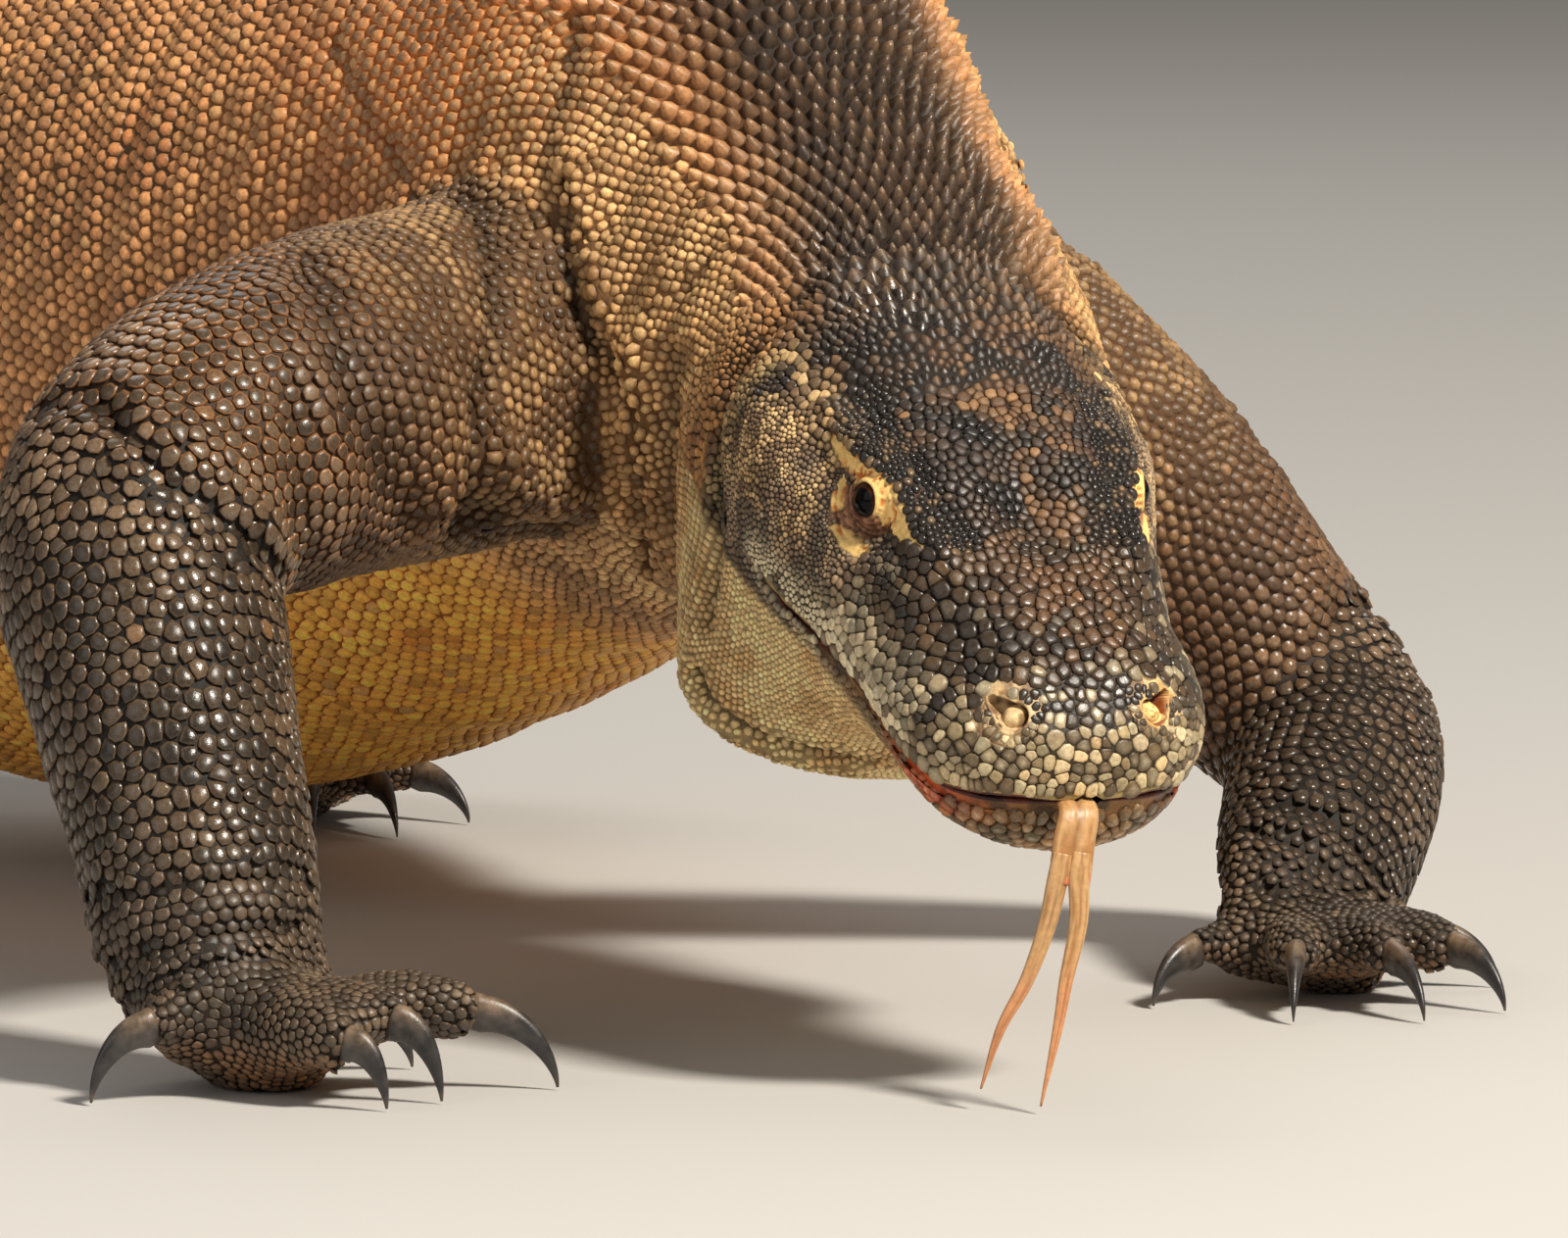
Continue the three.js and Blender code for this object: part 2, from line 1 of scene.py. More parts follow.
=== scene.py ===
# Komodo dragon (Varanus komodoensis), still life-size model: the fine skin, scales, eyes, claws and tongue.
# Shapes are worked out in millimetres in the animal's own design frame and handed to Blender in metres in the
# row frame (design frame minus ORIGIN). The animal faces -Y and its right side is on -X.
import math
import bpy
import numpy as np
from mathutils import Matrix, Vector
from mathutils.bvhtree import BVHTree
from mathutils.kdtree import KDTree


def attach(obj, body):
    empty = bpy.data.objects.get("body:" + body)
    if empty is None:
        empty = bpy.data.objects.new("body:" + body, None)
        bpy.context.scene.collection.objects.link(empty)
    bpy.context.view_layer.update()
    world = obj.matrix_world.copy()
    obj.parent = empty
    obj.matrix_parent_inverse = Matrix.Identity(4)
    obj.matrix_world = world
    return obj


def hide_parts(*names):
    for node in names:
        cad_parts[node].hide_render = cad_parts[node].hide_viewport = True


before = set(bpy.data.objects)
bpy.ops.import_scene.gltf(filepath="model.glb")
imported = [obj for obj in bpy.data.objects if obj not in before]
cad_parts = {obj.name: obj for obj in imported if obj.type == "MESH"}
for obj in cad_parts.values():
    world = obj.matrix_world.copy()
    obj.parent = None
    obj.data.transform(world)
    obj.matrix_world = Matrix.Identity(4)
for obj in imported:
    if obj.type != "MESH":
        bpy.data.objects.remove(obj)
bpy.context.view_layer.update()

# ------------------------------------------------------------------ sizes shared with the CAD model
ORIGIN = np.array([-34.5, 464.0, 0.0])
SNOUT = np.array([-48.5, -692.5, 105.0])
HEAD_YAW, HEAD_PITCH = math.radians(9.8), math.radians(30)
EYE_A, EYE_L, EYE_H, EYE_R = 119.4, 43.6, 42.0, 9.8
MOUTH_CORNER = 142.0
LIP_LINE = [(-12, -1.2), (3, -2.2), (10, -5.5), (20, -8.5), (42, -9.5), (90, -8.5), (125, -8.5), (260, -8.5)]

HEAD = [
    [0, 6, 4, 6, 2.0, 2.0],
    [1.5, 18, 10, 14, 2.0, 2.0],
    [4, 27.5, 15, 22, 2.1, 2.0],
    [9, 36, 21, 28.5, 2.2, 2.1],
    [16, 43.5, 26, 33, 2.25, 2.2],
    [28, 51, 32, 36.5, 2.2, 2.2],
    [45, 55, 37, 39, 2.15, 2.2],
    [65, 56.5, 43, 41, 2.15, 2.2],
    [88, 59, 52, 47, 2.25, 2.2],
    [112, 63, 61, 62, 2.35, 2.2],
    [140, 68, 67, 93, 2.4, 2.2],
    [170, 72, 71, 111, 2.3, 2.3],
    [200, 74, 74, 114, 2.2, 2.3],
]
BODY = [
    [-4, -478, 228, 79, 79, 114, 2.1, 2.2],
    [0, -425, 248, 85, 97, 118, 2.05, 2.0],
    [2, -355, 266, 104, 142, 132, 2.0, 2.0],
    [2, -260, 264, 126, 156, 150, 2.0, 2.0],
    [2, -140, 246, 163, 172, 172, 2.1, 2.0],
    [0, 0, 234, 186, 182, 194, 2.2, 2.05],
    [-6, 130, 240, 181, 174, 207, 2.2, 2.1],
    [-18, 250, 250, 150, 150, 166, 2.15, 2.1],
    [-30, 350, 256, 116, 126, 128, 2.1, 2.05],
    [-27, 450, 233, 88, 102, 100, 2.1, 2.0],
    [-14, 570, 183, 67, 84, 80, 2.0, 2.0],
    [14, 700, 122, 54, 72, 68, 2.0, 2.0],
    [38, 830, 74, 45, 63, 60, 2.0, 2.0],
    [46, 960, 49, 37, 54, 51, 2.0, 2.0],
    [30, 1100, 40, 29, 45, 42, 2.0, 2.0],
    [-14, 1240, 32, 21, 35, 33.5, 2.0, 2.0],
    [-70, 1370, 24, 14.5, 26, 25.5, 2.0, 2.0],
    [-112, 1480, 17, 9, 17.5, 18, 2.0, 2.0],
    [-136, 1580, 10, 4.5, 10, 10.8, 2.0, 2.0],
    [-142, 1636, 6.5, 2.2, 5, 6.4, 2.0, 2.0],
]
RELIEF = [
    [118, 48, 58, 24, 11, 11, 6.0],
    [80, 40, 42, 26, 10, 9, 3.0],
    [115, 60, 34, 17, 14, 13, -5.0],
    [80, 54, 20, 18, 12, 10, -3.0],
    [158, 70, 8, 34, 22, 26, 5.0],
    [158, 52, 66, 26, 14, 14, -3.0],
    [98, 0, 56, 26, 13, 14, -3.5],
    [30, 24, 30, 12, 10, 9, 2.5],
    [190, 34, 76, 24, 20, 16, 4.0],
    [204, 74, 30, 7, 24, 26, -4.0],
    [52, 50, 7, 40, 14, 8, 2.0],
    [182, 70, -76, 44, 40, 34, 19.0],
]
LIMBS = {
  "fore_right": {
    "side": [0.55, -0.8, 0.2],
    "rows": [
      [-66, -345, 236, 62, 66],
      [-116, -362, 228, 62, 64],
      [-168, -384, 224, 60, 62],
      [-222, -404, 214, 57, 59],
      [-262, -418, 196, 53, 55],
      [-277, -432, 172, 50, 52],
      [-279, -446, 146, 48, 49],
      [-279, -460, 117, 45, 47],
      [-279, -474, 88, 42, 44],
      [-280, -488, 58, 40, 43],
      [-280, -499, 34, 34, 45],
      [-279, -511, 20, 22, 45],
      [-276, -532, 15, 14, 36],
    ],
    "cuts": [3.9, 9.35],
    "palm": [-284, -506, 20],
    "digits": [
      [60, 46, 100, 20, 12, 25],
      [-9, 74, -40, 13, 15, 22],
      [-27, 74, -52, 15, 13, 27],
      [-56, 90, -60, 26, 13, 26],
      [-98, 58, -92, 22, 11, 22],
    ],
  },
  "fore_left": {
    "side": [0.75, 0.6, 0.2],
    "rows": [
      [66, -335, 250, 60, 66],
      [116, -338, 216, 60, 64],
      [164, -342, 180, 56, 58],
      [208, -345, 138, 51, 52],
      [236, -350, 106, 46, 46],
      [250, -366, 86, 43, 42],
      [242, -390, 71, 42, 40],
      [224, -414, 57, 41, 38],
      [206, -434, 44, 40, 34],
      [192, -450, 33, 40, 28],
      [180, -464, 24, 40, 20],
      [170, -476, 17, 38, 15],
      [160, -488, 14, 32, 12],
    ],
    "cuts": [4.3, 8.7],
    "palm": [180, -462, 20],
    "digits": [
      [66, 52, 60, 22, 11, 18],
      [18, 76, 12, 24, 12.5, 20],
      [-6, 80, -8, 26, 12, 20],
      [-32, 76, -34, 24, 11.5, 20],
      [-74, 56, -74, 20, 10.5, 18],
    ],
    "mirror": True,
  },
  "hind_left": {
    "side": [-0.2, 1, 0.2],
    "rows": [
      [30, 345, 256, 78, 84],
      [92, 322, 250, 76, 80],
      [154, 290, 236, 68, 70],
      [208, 258, 216, 58, 58],
      [240, 244, 188, 52, 52],
      [242, 252, 154, 49, 50],
      [222, 268, 118, 44, 47],
      [196, 284, 80, 38, 42],
      [176, 288, 48, 34, 42],
      [158, 268, 27, 26, 42],
      [138, 238, 18, 19, 44],
      [120, 210, 15, 13, 38],
    ],
    "cuts": [3.9, 7.9],
    "palm": [136, 232, 20],
    "digits": [
      [30, 60, 24, 24, 11, 18],
      [-4, 80, -10, 26, 12, 20],
      [-24, 86, -26, 27, 12, 20],
      [-46, 80, -46, 26, 12, 20],
      [-80, 60, -78, 24, 11, 18],
    ],
    "mirror": True,
  },
  "hind_right": {
    "side": [-0.2, 1, 0.2],
    "rows": [
      [-88, 350, 252, 78, 84],
      [-140, 342, 244, 76, 80],
      [-192, 340, 226, 68, 70],
      [-236, 350, 200, 58, 58],
      [-262, 370, 170, 53, 52],
      [-270, 400, 138, 49, 50],
      [-272, 430, 106, 44, 46],
      [-272, 456, 72, 38, 42],
      [-272, 466, 44, 34, 42],
      [-276, 452, 26, 26, 42],
      [-284, 426, 18, 19, 44],
      [-290, 398, 15, 13, 38],
    ],
    "cuts": [3.9, 7.9],
    "palm": [-286, 420, 20],
    "digits": [
      [70, 58, 66, 24, 11, 18],
      [30, 78, 26, 26, 12, 20],
      [8, 84, 6, 27, 12, 20],
      [-14, 76, -16, 26, 12, 20],
      [-48, 60, -48, 24, 11, 18],
    ],
  },
}


# ------------------------------------------------------------------ maths
def unit(v):
    return v / np.maximum(np.linalg.norm(v, axis=-1, keepdims=True), 1e-12)


def smooth(x, a, b):
    t = np.clip((np.asarray(x, float) - a) / (b - a), 0, 1)
    return t * t * (3 - 2 * t)


def bump(x, a, b, soft):
    """1 between a and b, falling to 0 over soft on either side."""
    return smooth(x, a - soft, a) * (1 - smooth(x, b, b + soft))


def cubic(ks, rows, k):
    """Cubic through table rows keyed by ks, with finite-difference slopes."""
    ks, rows = np.asarray(ks, float), np.asarray(rows, float)
    k = np.atleast_1d(np.asarray(k, float))
    n = len(ks)
    i = np.clip(np.searchsorted(ks, k, side="left") - 1, 0, n - 2)
    h = ks[i + 1] - ks[i]
    t = ((k - ks[i]) / h)[:, None]
    a, b = np.maximum(np.arange(n) - 1, 0), np.minimum(np.arange(n) + 1, n - 1)
    slope = (rows[b] - rows[a]) / (ks[b] - ks[a])[:, None]
    m0, m1 = slope[i] * h[:, None], slope[i + 1] * h[:, None]
    return (2 * t**3 - 3 * t**2 + 1) * rows[i] + (t**3 - 2 * t**2 + t) * m0 + (-2 * t**3 + 3 * t**2) * rows[i + 1] + (t**3 - t**2) * m1


def lattice(ix, iy, iz, seed):
    h = (ix * 73856093) ^ (iy * 19349663) ^ (iz * 83492791) ^ (seed * 2654435761)
    h = h & 0xFFFFFFFF
    h = ((h ^ (h >> 13)) * 1274126177) & 0xFFFFFFFF
    h = ((h ^ (h >> 16)) * 2246822519) & 0xFFFFFFFF
    return (h ^ (h >> 15)).astype(float) / 0xFFFFFFFF


def noise(p, size, seed):
    """Smooth value noise from 0 to 1 over points p in millimetres, with features of about this size."""
    q = p / np.asarray(size, float) + 1000.0
    i = np.floor(q).astype(np.int64)
    f = q - i
    f = f * f * (3 - 2 * f)
    out = 0.0
    for dx in (0, 1):
        for dy in (0, 1):
            for dz in (0, 1):
                w = (f[:, 0] if dx else 1 - f[:, 0]) * (f[:, 1] if dy else 1 - f[:, 1]) * (f[:, 2] if dz else 1 - f[:, 2])
                out = out + w * lattice(i[:, 0] + dx, i[:, 1] + dy, i[:, 2] + dz, seed)
    return out


# ------------------------------------------------------------------ head, neck, trunk and tail as one long loft
HD = np.array([-math.sin(HEAD_YAW) * math.cos(HEAD_PITCH), -math.cos(HEAD_YAW) * math.cos(HEAD_PITCH), -math.sin(HEAD_PITCH)])
HU = unit(np.array([0, 0, 1.0]) - HD * HD[2])
HL = np.cross(HU, HD)


def head_point(a, l, h):
    a, l, h = (np.asarray(x, float)[..., None] for x in (a, l, h))
    return SNOUT - HD * a + HL * l + HU * h


def head_coords(p):
    q = p - SNOUT
    return -(q @ HD), q @ HL, q @ HU


AXIS = np.array([[*head_point(a, 0, 0), w, hu, hd, nu, nd] for a, w, hu, hd, nu, nd in HEAD] + BODY, float)
AXIS_S = np.concatenate([[0], np.cumsum(np.linalg.norm(np.diff(AXIS[:, :3], axis=0), axis=1))])
AXIS_END = AXIS_S[-1]


def axial_frame(s):
    s = np.atleast_1d(np.asarray(s, float))
    row = cubic(AXIS_S, AXIS, s)
    a = cubic(AXIS_S, AXIS, np.clip(s - 2, 0, AXIS_END))[:, :3]
    b = cubic(AXIS_S, AXIS, np.clip(s + 2, 0, AXIS_END))[:, :3]
    back = unit(b - a)
    up = unit(np.array([0, 0, 1.0]) - back * back[:, 2:])
    return row, back, up, np.cross(back, up)


def relief(s, l, h):
    out = 0.0
    for a0, l0, h0, ra, rl, rh, d in RELIEF:
        q = ((s - a0) / ra) ** 2 + ((np.abs(l) - l0) / rl) ** 2 + ((h - h0) / rh) ** 2
        out = out + np.where(q < 9, d * np.exp(-q), 0)
    return out


def power(v, n):
    return np.sign(v) * np.abs(v) ** (2 / n)


def section(s, f):
    """Half-width and height of the bare section at s for parameter f, which runs from the top towards the left."""
    row, back, up, left = axial_frame(s)
    c = np.cos(f)
    n = np.where(c >= 0, row[:, 6], row[:, 7])
    l = row[:, 3] * power(np.sin(f), n)
    h = np.where(c >= 0, row[:, 4], row[:, 5]) * power(c, n)
    return row, back, up, left, l, h


def axial_point(s, f, grow=0.0):
    s, f = np.broadcast_arrays(np.asarray(s, float), np.asarray(f, float))
    s, f = s.ravel(), f.ravel()
    row, back, up, left, l, h = section(s, f)
    r = np.hypot(l, h)
    k = (r + grow + np.where(s < 235, relief(s, l, h), 0)) / np.maximum(r, 1e-6)
    return row[:, :3] + left * (l * k)[:, None] + up * (h * k)[:, None]


def limb_frame(limb, k):
    rows = np.array(limb["rows"], float)
    ks = np.arange(len(rows))
    k = np.atleast_1d(np.asarray(k, float))
    row = cubic(ks, rows, k)
    a = cubic(ks, rows, np.clip(k - 0.05, 0, len(rows) - 1))[:, :3]
    b = cubic(ks, rows, np.clip(k + 0.05, 0, len(rows) - 1))[:, :3]
    along = unit(b - a)
    side = np.array(limb["side"], float)
    first = unit(side - along * (along @ side)[:, None])
    return row, along, first, np.cross(along, first)


def limb_point(limb, k, f, grow=0.0):
    k, f = np.broadcast_arrays(np.asarray(k, float), np.asarray(f, float))
    k, f = k.ravel(), f.ravel()
    row, along, first, second = limb_frame(limb, k)
    return row[:, :3] + first * ((row[:, 3] + grow) * np.cos(f))[:, None] + second * ((row[:, 4] + grow) * np.sin(f))[:, None]


def toe_rows(limb, digit):
    """Spine of a toe as table rows x, y, z, r, with the direction of the claw."""
    ang, length, claw_ang, reach, r, root = digit
    side = 1 if limb.get("mirror") else -1
    d = np.array([side * math.sin(math.radians(ang)), -math.cos(math.radians(ang)), 0])
    c = np.array([side * math.sin(math.radians(claw_ang)), -math.cos(math.radians(claw_ang)), 0])
    p = np.array(limb["palm"], float)
    end = p + d * length
    end[2] = root
    pts = [p + d * length * 0.1, p + d * length * 0.36, p + d * length * 0.66, end]
    pts[0][2] = pts[1][2] = 20
    pts[2][2] = root + r * 0.25
    ahead = unit(np.array([c[0], c[1], -0.55]))
    rows = np.array([[*q, k * r] for q, k in zip(pts, (1.25, 1.15, 1.05, 0.8))])
    return rows, c, ahead, end


def toe_frame(rows, ahead, k):
    ks = np.arange(len(rows))
    k = np.atleast_1d(np.asarray(k, float))
    row = cubic(ks, rows, k)
    a = cubic(ks, rows, np.clip(k - 0.1, 0, 3))[:, :3]
    b = cubic(ks, rows, np.clip(k + 0.1, 0, 3))[:, :3]
    along = unit(b - a)
    w = smooth(k, 2.0, 3.0)[:, None]
    along = unit(along + ahead * w)
    up = unit(np.array([0, 0, 1.0]) - along * along[:, 2:])
    return row, along, np.cross(along, up), up


def toe_point(rows, ahead, k, f, grow=0.0):
    k, f = np.broadcast_arrays(np.asarray(k, float), np.asarray(f, float))
    k, f = k.ravel(), f.ravel()
    row, along, first, up = toe_frame(rows, ahead, k)
    r = row[:, 3] + grow
    return row[:, :3] + first * (r * 1.04 * np.cos(f))[:, None] + up * (r * np.sin(f))[:, None]


def lip_height(a):
    return np.interp(a, [q[0] for q in LIP_LINE], [q[1] for q in LIP_LINE])



# ------------------------------------------------------------------ folds of loose skin, as lines on the lofts
def on_axial(*pts):
    return axial_point([p[0] for p in pts], [math.radians(p[1]) for p in pts])


def on_limb(key, *pts):
    return limb_point(LIMBS[key], [p[0] for p in pts], [math.radians(p[1]) for p in pts])


def on_head(*pts):
    return head_point([p[0] for p in pts], [p[1] for p in pts], [p[2] for p in pts])


def dense(line, step=1.5):
    out = []
    for a, b in zip(line[:-1], line[1:]):
        n = max(1, int(np.linalg.norm(b - a) / step))
        out.append(a + (b - a) * (np.arange(n) / n)[:, None])
    out.append(line[-1:])
    return np.concatenate(out)


FOLDS = []  # line, depth of the crease, its half width, height of the roll beside it


def fold(line, depth, wide, roll=0.0):
    FOLDS.append((dense(line), depth, wide, roll))


for side in (-1, 1):
    fold(on_axial(*[(s, side * f) for s, f in [(345, 70), (332, 82), (318, 90), (300, 95), (279, 99), (283, 115), (298, 130), (320, 146)]]), 6.5, 4.2, 1.6)
    fold(on_axial(*[(s, side * f) for s, f in [(212, 30), (207, 44), (205, 66), (198, 80), (190, 90), (182, 98), (176, 110)]]), 3.4, 5.0, 0.8)
    fold(on_axial(*[(s, side * f) for s, f in [(250, 84), (246, 100), (244, 120), (250, 140)]]), 3.0, 7, 1.2)
    fold(on_axial(*[(s, side * f) for s, f in [(275, 60), (268, 76), (262, 96), (264, 118)]]), 1.8, 6, 0.8)
    fold(on_axial(*[(s, side * f) for s, f in [(384, 66), (396, 84), (410, 100), (420, 118)]]), 1.6, 8, 0.6)
    fold(on_head((176, side * 69, -70), (166, side * 66, -78), (152, side * 56, -80), (138, side * 42, -76), (128, side * 22, -70)), 9.0, 3.8, 1.8)
    fold(on_head((186, side * 66, -84), (172, side * 60, -90), (154, side * 44, -90), (140, side * 24, -84)), 4.2, 3.0, 1.4)
for key in ("fore_right", "fore_left"):
    fold(on_limb(key, (0.7, 78), (1.0, 60), (1.3, 42), (1.65, 22), (1.9, 0), (2.05, -20), (2.0, -46)), 3.2, 5.5, 1.2)
    fold(on_limb(key, (1.9, -50), (1.5, -66), (1.0, -74), (0.5, -78)), 7.0, 9, 0.0)
    fold(on_limb(key, (2.55, 60), (2.8, 30), (2.9, 5), (2.75, -20), (2.5, -45)), 2.4, 8, 1.2)
    fold(on_limb(key, (4.1, 84), (4.3, 70), (4.6, 55), (4.8, 42), (4.95, 25), (5.2, 8), (5.4, -12), (5.2, -40)), 3.4, 4.0, 1.4 if key == "fore_right" else 0.6)
    fold(on_limb(key, (4.75, 74), (5.05, 52), (5.3, 34), (5.6, 14)), 2.2, 3.5, 0.8)
    fold(on_limb(key, (4.1, 120), (4.15, 95), (4.3, 70)), 2.4, 6, 0.8)
    fold(on_limb(key, (3.3, 20), (3.6, -10), (3.5, -45), (3.2, -80)), 2.2, 7, 0.8)
    fold(on_limb(key, (8.7, 150), (8.8, 110), (9.0, 70), (9.0, 30), (8.9, -10)), 2.2, 3.6, 1.0)
    fold(on_limb(key, (9.5, 160), (9.6, 120), (9.75, 80), (9.7, 40), (9.6, 0)), 2.6, 3.4, 1.2)
    fold(on_limb(key, (10.1, 150), (10.2, 110), (10.35, 70), (10.2, 30)), 1.8, 3.2, 1.0)
    fold(on_limb(key, (10.8, 140), (10.9, 100), (11.0, 60)), 1.4, 3.2, 0.8)
for key in ("hind_right", "hind_left"):
    fold(on_limb(key, (1.2, 100), (1.3, 50), (1.4, 0), (1.3, -50), (1.2, -100)), 4.0, 9, 1.0)
    fold(on_limb(key, (4.0, 120), (4.1, 60), (4.2, 0), (4.1, -60)), 3.0, 7, 1.0)
    fold(on_limb(key, (8.4, 150), (8.5, 90), (8.6, 30), (8.5, -30)), 2.4, 5, 0.8)
for side in (-1, 1):
    fold(on_axial(*[(s, side * f) for s, f in [(478, 58), (452, 68), (428, 76), (404, 82)]]), 1.3, 4.5, 0.6)
    fold(on_axial(*[(s, side * f) for s, f in [(372, 48), (362, 60), (356, 72)]]), 2.6, 6, 1.2)
BULGES = []  # swellings of loose skin: line, lift, half width
for key in ("fore_right", "fore_left"):
    BULGES.append((dense(on_limb(key, (1.75, -32), (1.2, -48), (0.6, -52))), 8.0, 10.0))
    BULGES.append((dense(on_limb(key, (2.35, 10), (2.3, -15), (2.2, -40))), 4.0, 11.0))
    BULGES.append((dense(on_limb(key, (4.15, 52), (4.3, 34), (4.5, 14), (4.7, -4))), 3.0, 8.0))
for side in (-1, 1):
    BULGES.append((dense(on_axial(*[(s, side * f) for s, f in [(345, 68), (326, 78), (306, 86), (288, 92), (280, 102), (290, 112)]])), 5.0, 12.0))
RIDGES = []  # on the head: line, lift, half width
RIDGES.append((dense(on_head((140, 0, 66), (122, 0, 62), (104, 0, 56), (90, 0, 50))), -3.4, 17.0))
for side in (-1, 1):
    RIDGES.append((dense(on_head((162, side * 52, 53), (148, side * 52.5, 55.5), (134, side * 51, 57), (120, side * 48, 57), (107, side * 44, 54.5), (95, side * 40, 51), (82, side * 35, 46))), 2.6, 4.6))
    RIDGES.append((dense(on_head((78, side * 34, 43), (60, side * 30, 39), (42, side * 26, 34))), 1.5, 6.0))
    RIDGES.append((dense(on_head((152, side * 60, 44), (138, side * 58, 44), (104, side * 50, 40), (92, side * 46, 38))), -2.0, 4.0))
    RIDGES.append((dense(on_head((134, side * 60, 32), (126, side * 60, 27), (114, side * 57, 24), (102, side * 53, 27))), 1.4, 4.0))
    RIDGES.append((dense(on_head((196, side * 72, 40), (178, side * 74, 36), (160, side * 71, 30))), 3.0, 14.0))
    RIDGES.append((dense(on_head((60, side * 18, 40), (44, side * 16, 37))), 1.2, 9.0))
    RIDGES.append((dense(on_head((142, side * 69, -8), (125, side * 66, -4), (100, side * 61, -2), (75, side * 57, 0), (50, side * 55, 1))), 1.3, 5.0))


def tree_of(points):
    t = KDTree(len(points))
    for i, p in enumerate(points.tolist()):
        t.insert(p, i)
    t.balance()
    return t


def nearest(tree, points):
    idx = np.empty(len(points), int)
    dist = np.empty(len(points))
    for i, p in enumerate(points.tolist()):
        _, j, d = tree.find(p)
        idx[i], dist[i] = j, d
    return idx, dist


def snap(line, points, tree):
    """Lays a line on the skin where it runs close by."""
    i, d = nearest(tree, line)
    return np.where((d < 16)[:, None], points[i], line)


def fold_lift(points):
    """How far the folds move the skin at these points: creases in, rolls beside them out."""
    out = np.zeros(len(points))
    tree = tree_of(points)
    for line, depth, wide, roll in FOLDS:
        line = snap(line, points, tree)
        lo, hi = line.min(0) - 4 * wide, line.max(0) + 4 * wide
        near = np.where(((points > lo) & (points < hi)).all(1))[0]
        if not len(near):
            continue
        _, d = nearest(tree_of(line), points[near])
        q = d / wide
        out[near] += -depth * np.exp(-q * q) + roll * np.exp(-((q - 1.9) ** 2) * 1.6)
    return out


def ridge_lift(points, ridges):
    out = np.zeros(len(points))
    tree = tree_of(points)
    for line, lift, wide in ridges:
        line = snap(line, points, tree)
        lo, hi = line.min(0) - 4 * wide, line.max(0) + 4 * wide
        near = np.where(((points > lo) & (points < hi)).all(1))[0]
        if not len(near):
            continue
        _, d = nearest(tree_of(line), points[near])
        out[near] += lift * np.exp(-((d / wide) ** 2))
    return out


def coat_depth(s, f):
    """How far the skin lies inside the outline, so that the scales' tops reach it."""
    top = np.cos(f)
    nape = bump(s, 205, 470, 45) * smooth(top, 0.35, 0.9)
    return 1.5 + 2.3 * nape


# ------------------------------------------------------------------ skin of neck, trunk, tail, limbs and toes
def ring_mesh(rings):
    """Vertices and faces of a closed tube; rings is (n, m, 3)."""
    n, m, _ = rings.shape
    v = rings.reshape(-1, 3)
    r, c = np.meshgrid(np.arange(n - 1), np.arange(m), indexing="ij")
    a = r * m + c
    b = r * m + (c + 1) % m
    quads = np.stack([a, b, b + m, a + m], -1).reshape(-1, 4)
    v = np.concatenate([v, rings[0].mean(0)[None], rings[-1].mean(0)[None]])
    i = np.arange(m)
    j = (i + 1) % m
    caps = np.concatenate([np.stack([np.full(m, n * m), j, i], 1), np.stack([np.full(m, n * m + 1), (n - 1) * m + i, (n - 1) * m + j], 1)])
    return v, quads, caps


def to_row(p):
    return (p - ORIGIN) / 1000.0


def make_mesh(name, verts, quads=(), tris=(), smooth_faces=True):
    """A mesh object from arrays in design millimetres."""
    me = bpy.data.meshes.new(name)
    quads = np.asarray(quads, np.int32).reshape(-1, 4)
    tris = np.asarray(tris, np.int32).reshape(-1, 3)
    loops = np.concatenate([quads.ravel(), tris.ravel()])
    starts = np.concatenate([np.arange(len(quads)) * 4, len(quads) * 4 + np.arange(len(tris)) * 3])
    me.vertices.add(len(verts))
    me.vertices.foreach_set("co", to_row(verts).astype(np.float32).ravel())
    me.loops.add(len(loops))
    me.loops.foreach_set("vertex_index", loops.astype(np.int32))
    me.polygons.add(len(starts))
    me.polygons.foreach_set("loop_start", starts.astype(np.int32))
    me.update(calc_edges=True)
    me.polygons.foreach_set("use_smooth", np.full(len(starts), smooth_faces))
    me.update()
    ob = bpy.data.objects.new(name, me)
    bpy.context.scene.collection.objects.link(ob)
    return ob


def mesh_arrays(me):
    co = np.empty(len(me.vertices) * 3, np.float32)
    me.vertices.foreach_get("co", co)
    co = co.reshape(-1, 3).astype(float) * 1000 + ORIGIN
    n = len(me.polygons)
    total = np.empty(n, np.int32)
    me.polygons.foreach_get("loop_total", total)
    idx = np.empty(len(me.loops), np.int32)
    me.loops.foreach_get("vertex_index", idx)
    return co, total, idx


def vertex_normals(co, quads, tris=None):
    nrm = np.zeros_like(co)
    for f in (quads, tris):
        if f is None or not len(f):
            continue
        k = f.shape[1]
        if k == 4:
            fn = np.cross(co[f[:, 2]] - co[f[:, 0]], co[f[:, 3]] - co[f[:, 1]])
        else:
            fn = np.cross(co[f[:, 1]] - co[f[:, 0]], co[f[:, 2]] - co[f[:, 0]])
        for c in range(k):
            np.add.at(nrm, f[:, c], fn)
    return unit(nrm)


S_LAST = AXIS_END - 1.5
TUBES = ["axial"] + list(LIMBS)  # and one for every toe
TOES = {}
for key, limb in LIMBS.items():
    for i, digit in enumerate(limb["digits"]):
        TOES[f"{key}_toe_{5 - i}"] = (key, digit, *toe_rows(limb, digit))


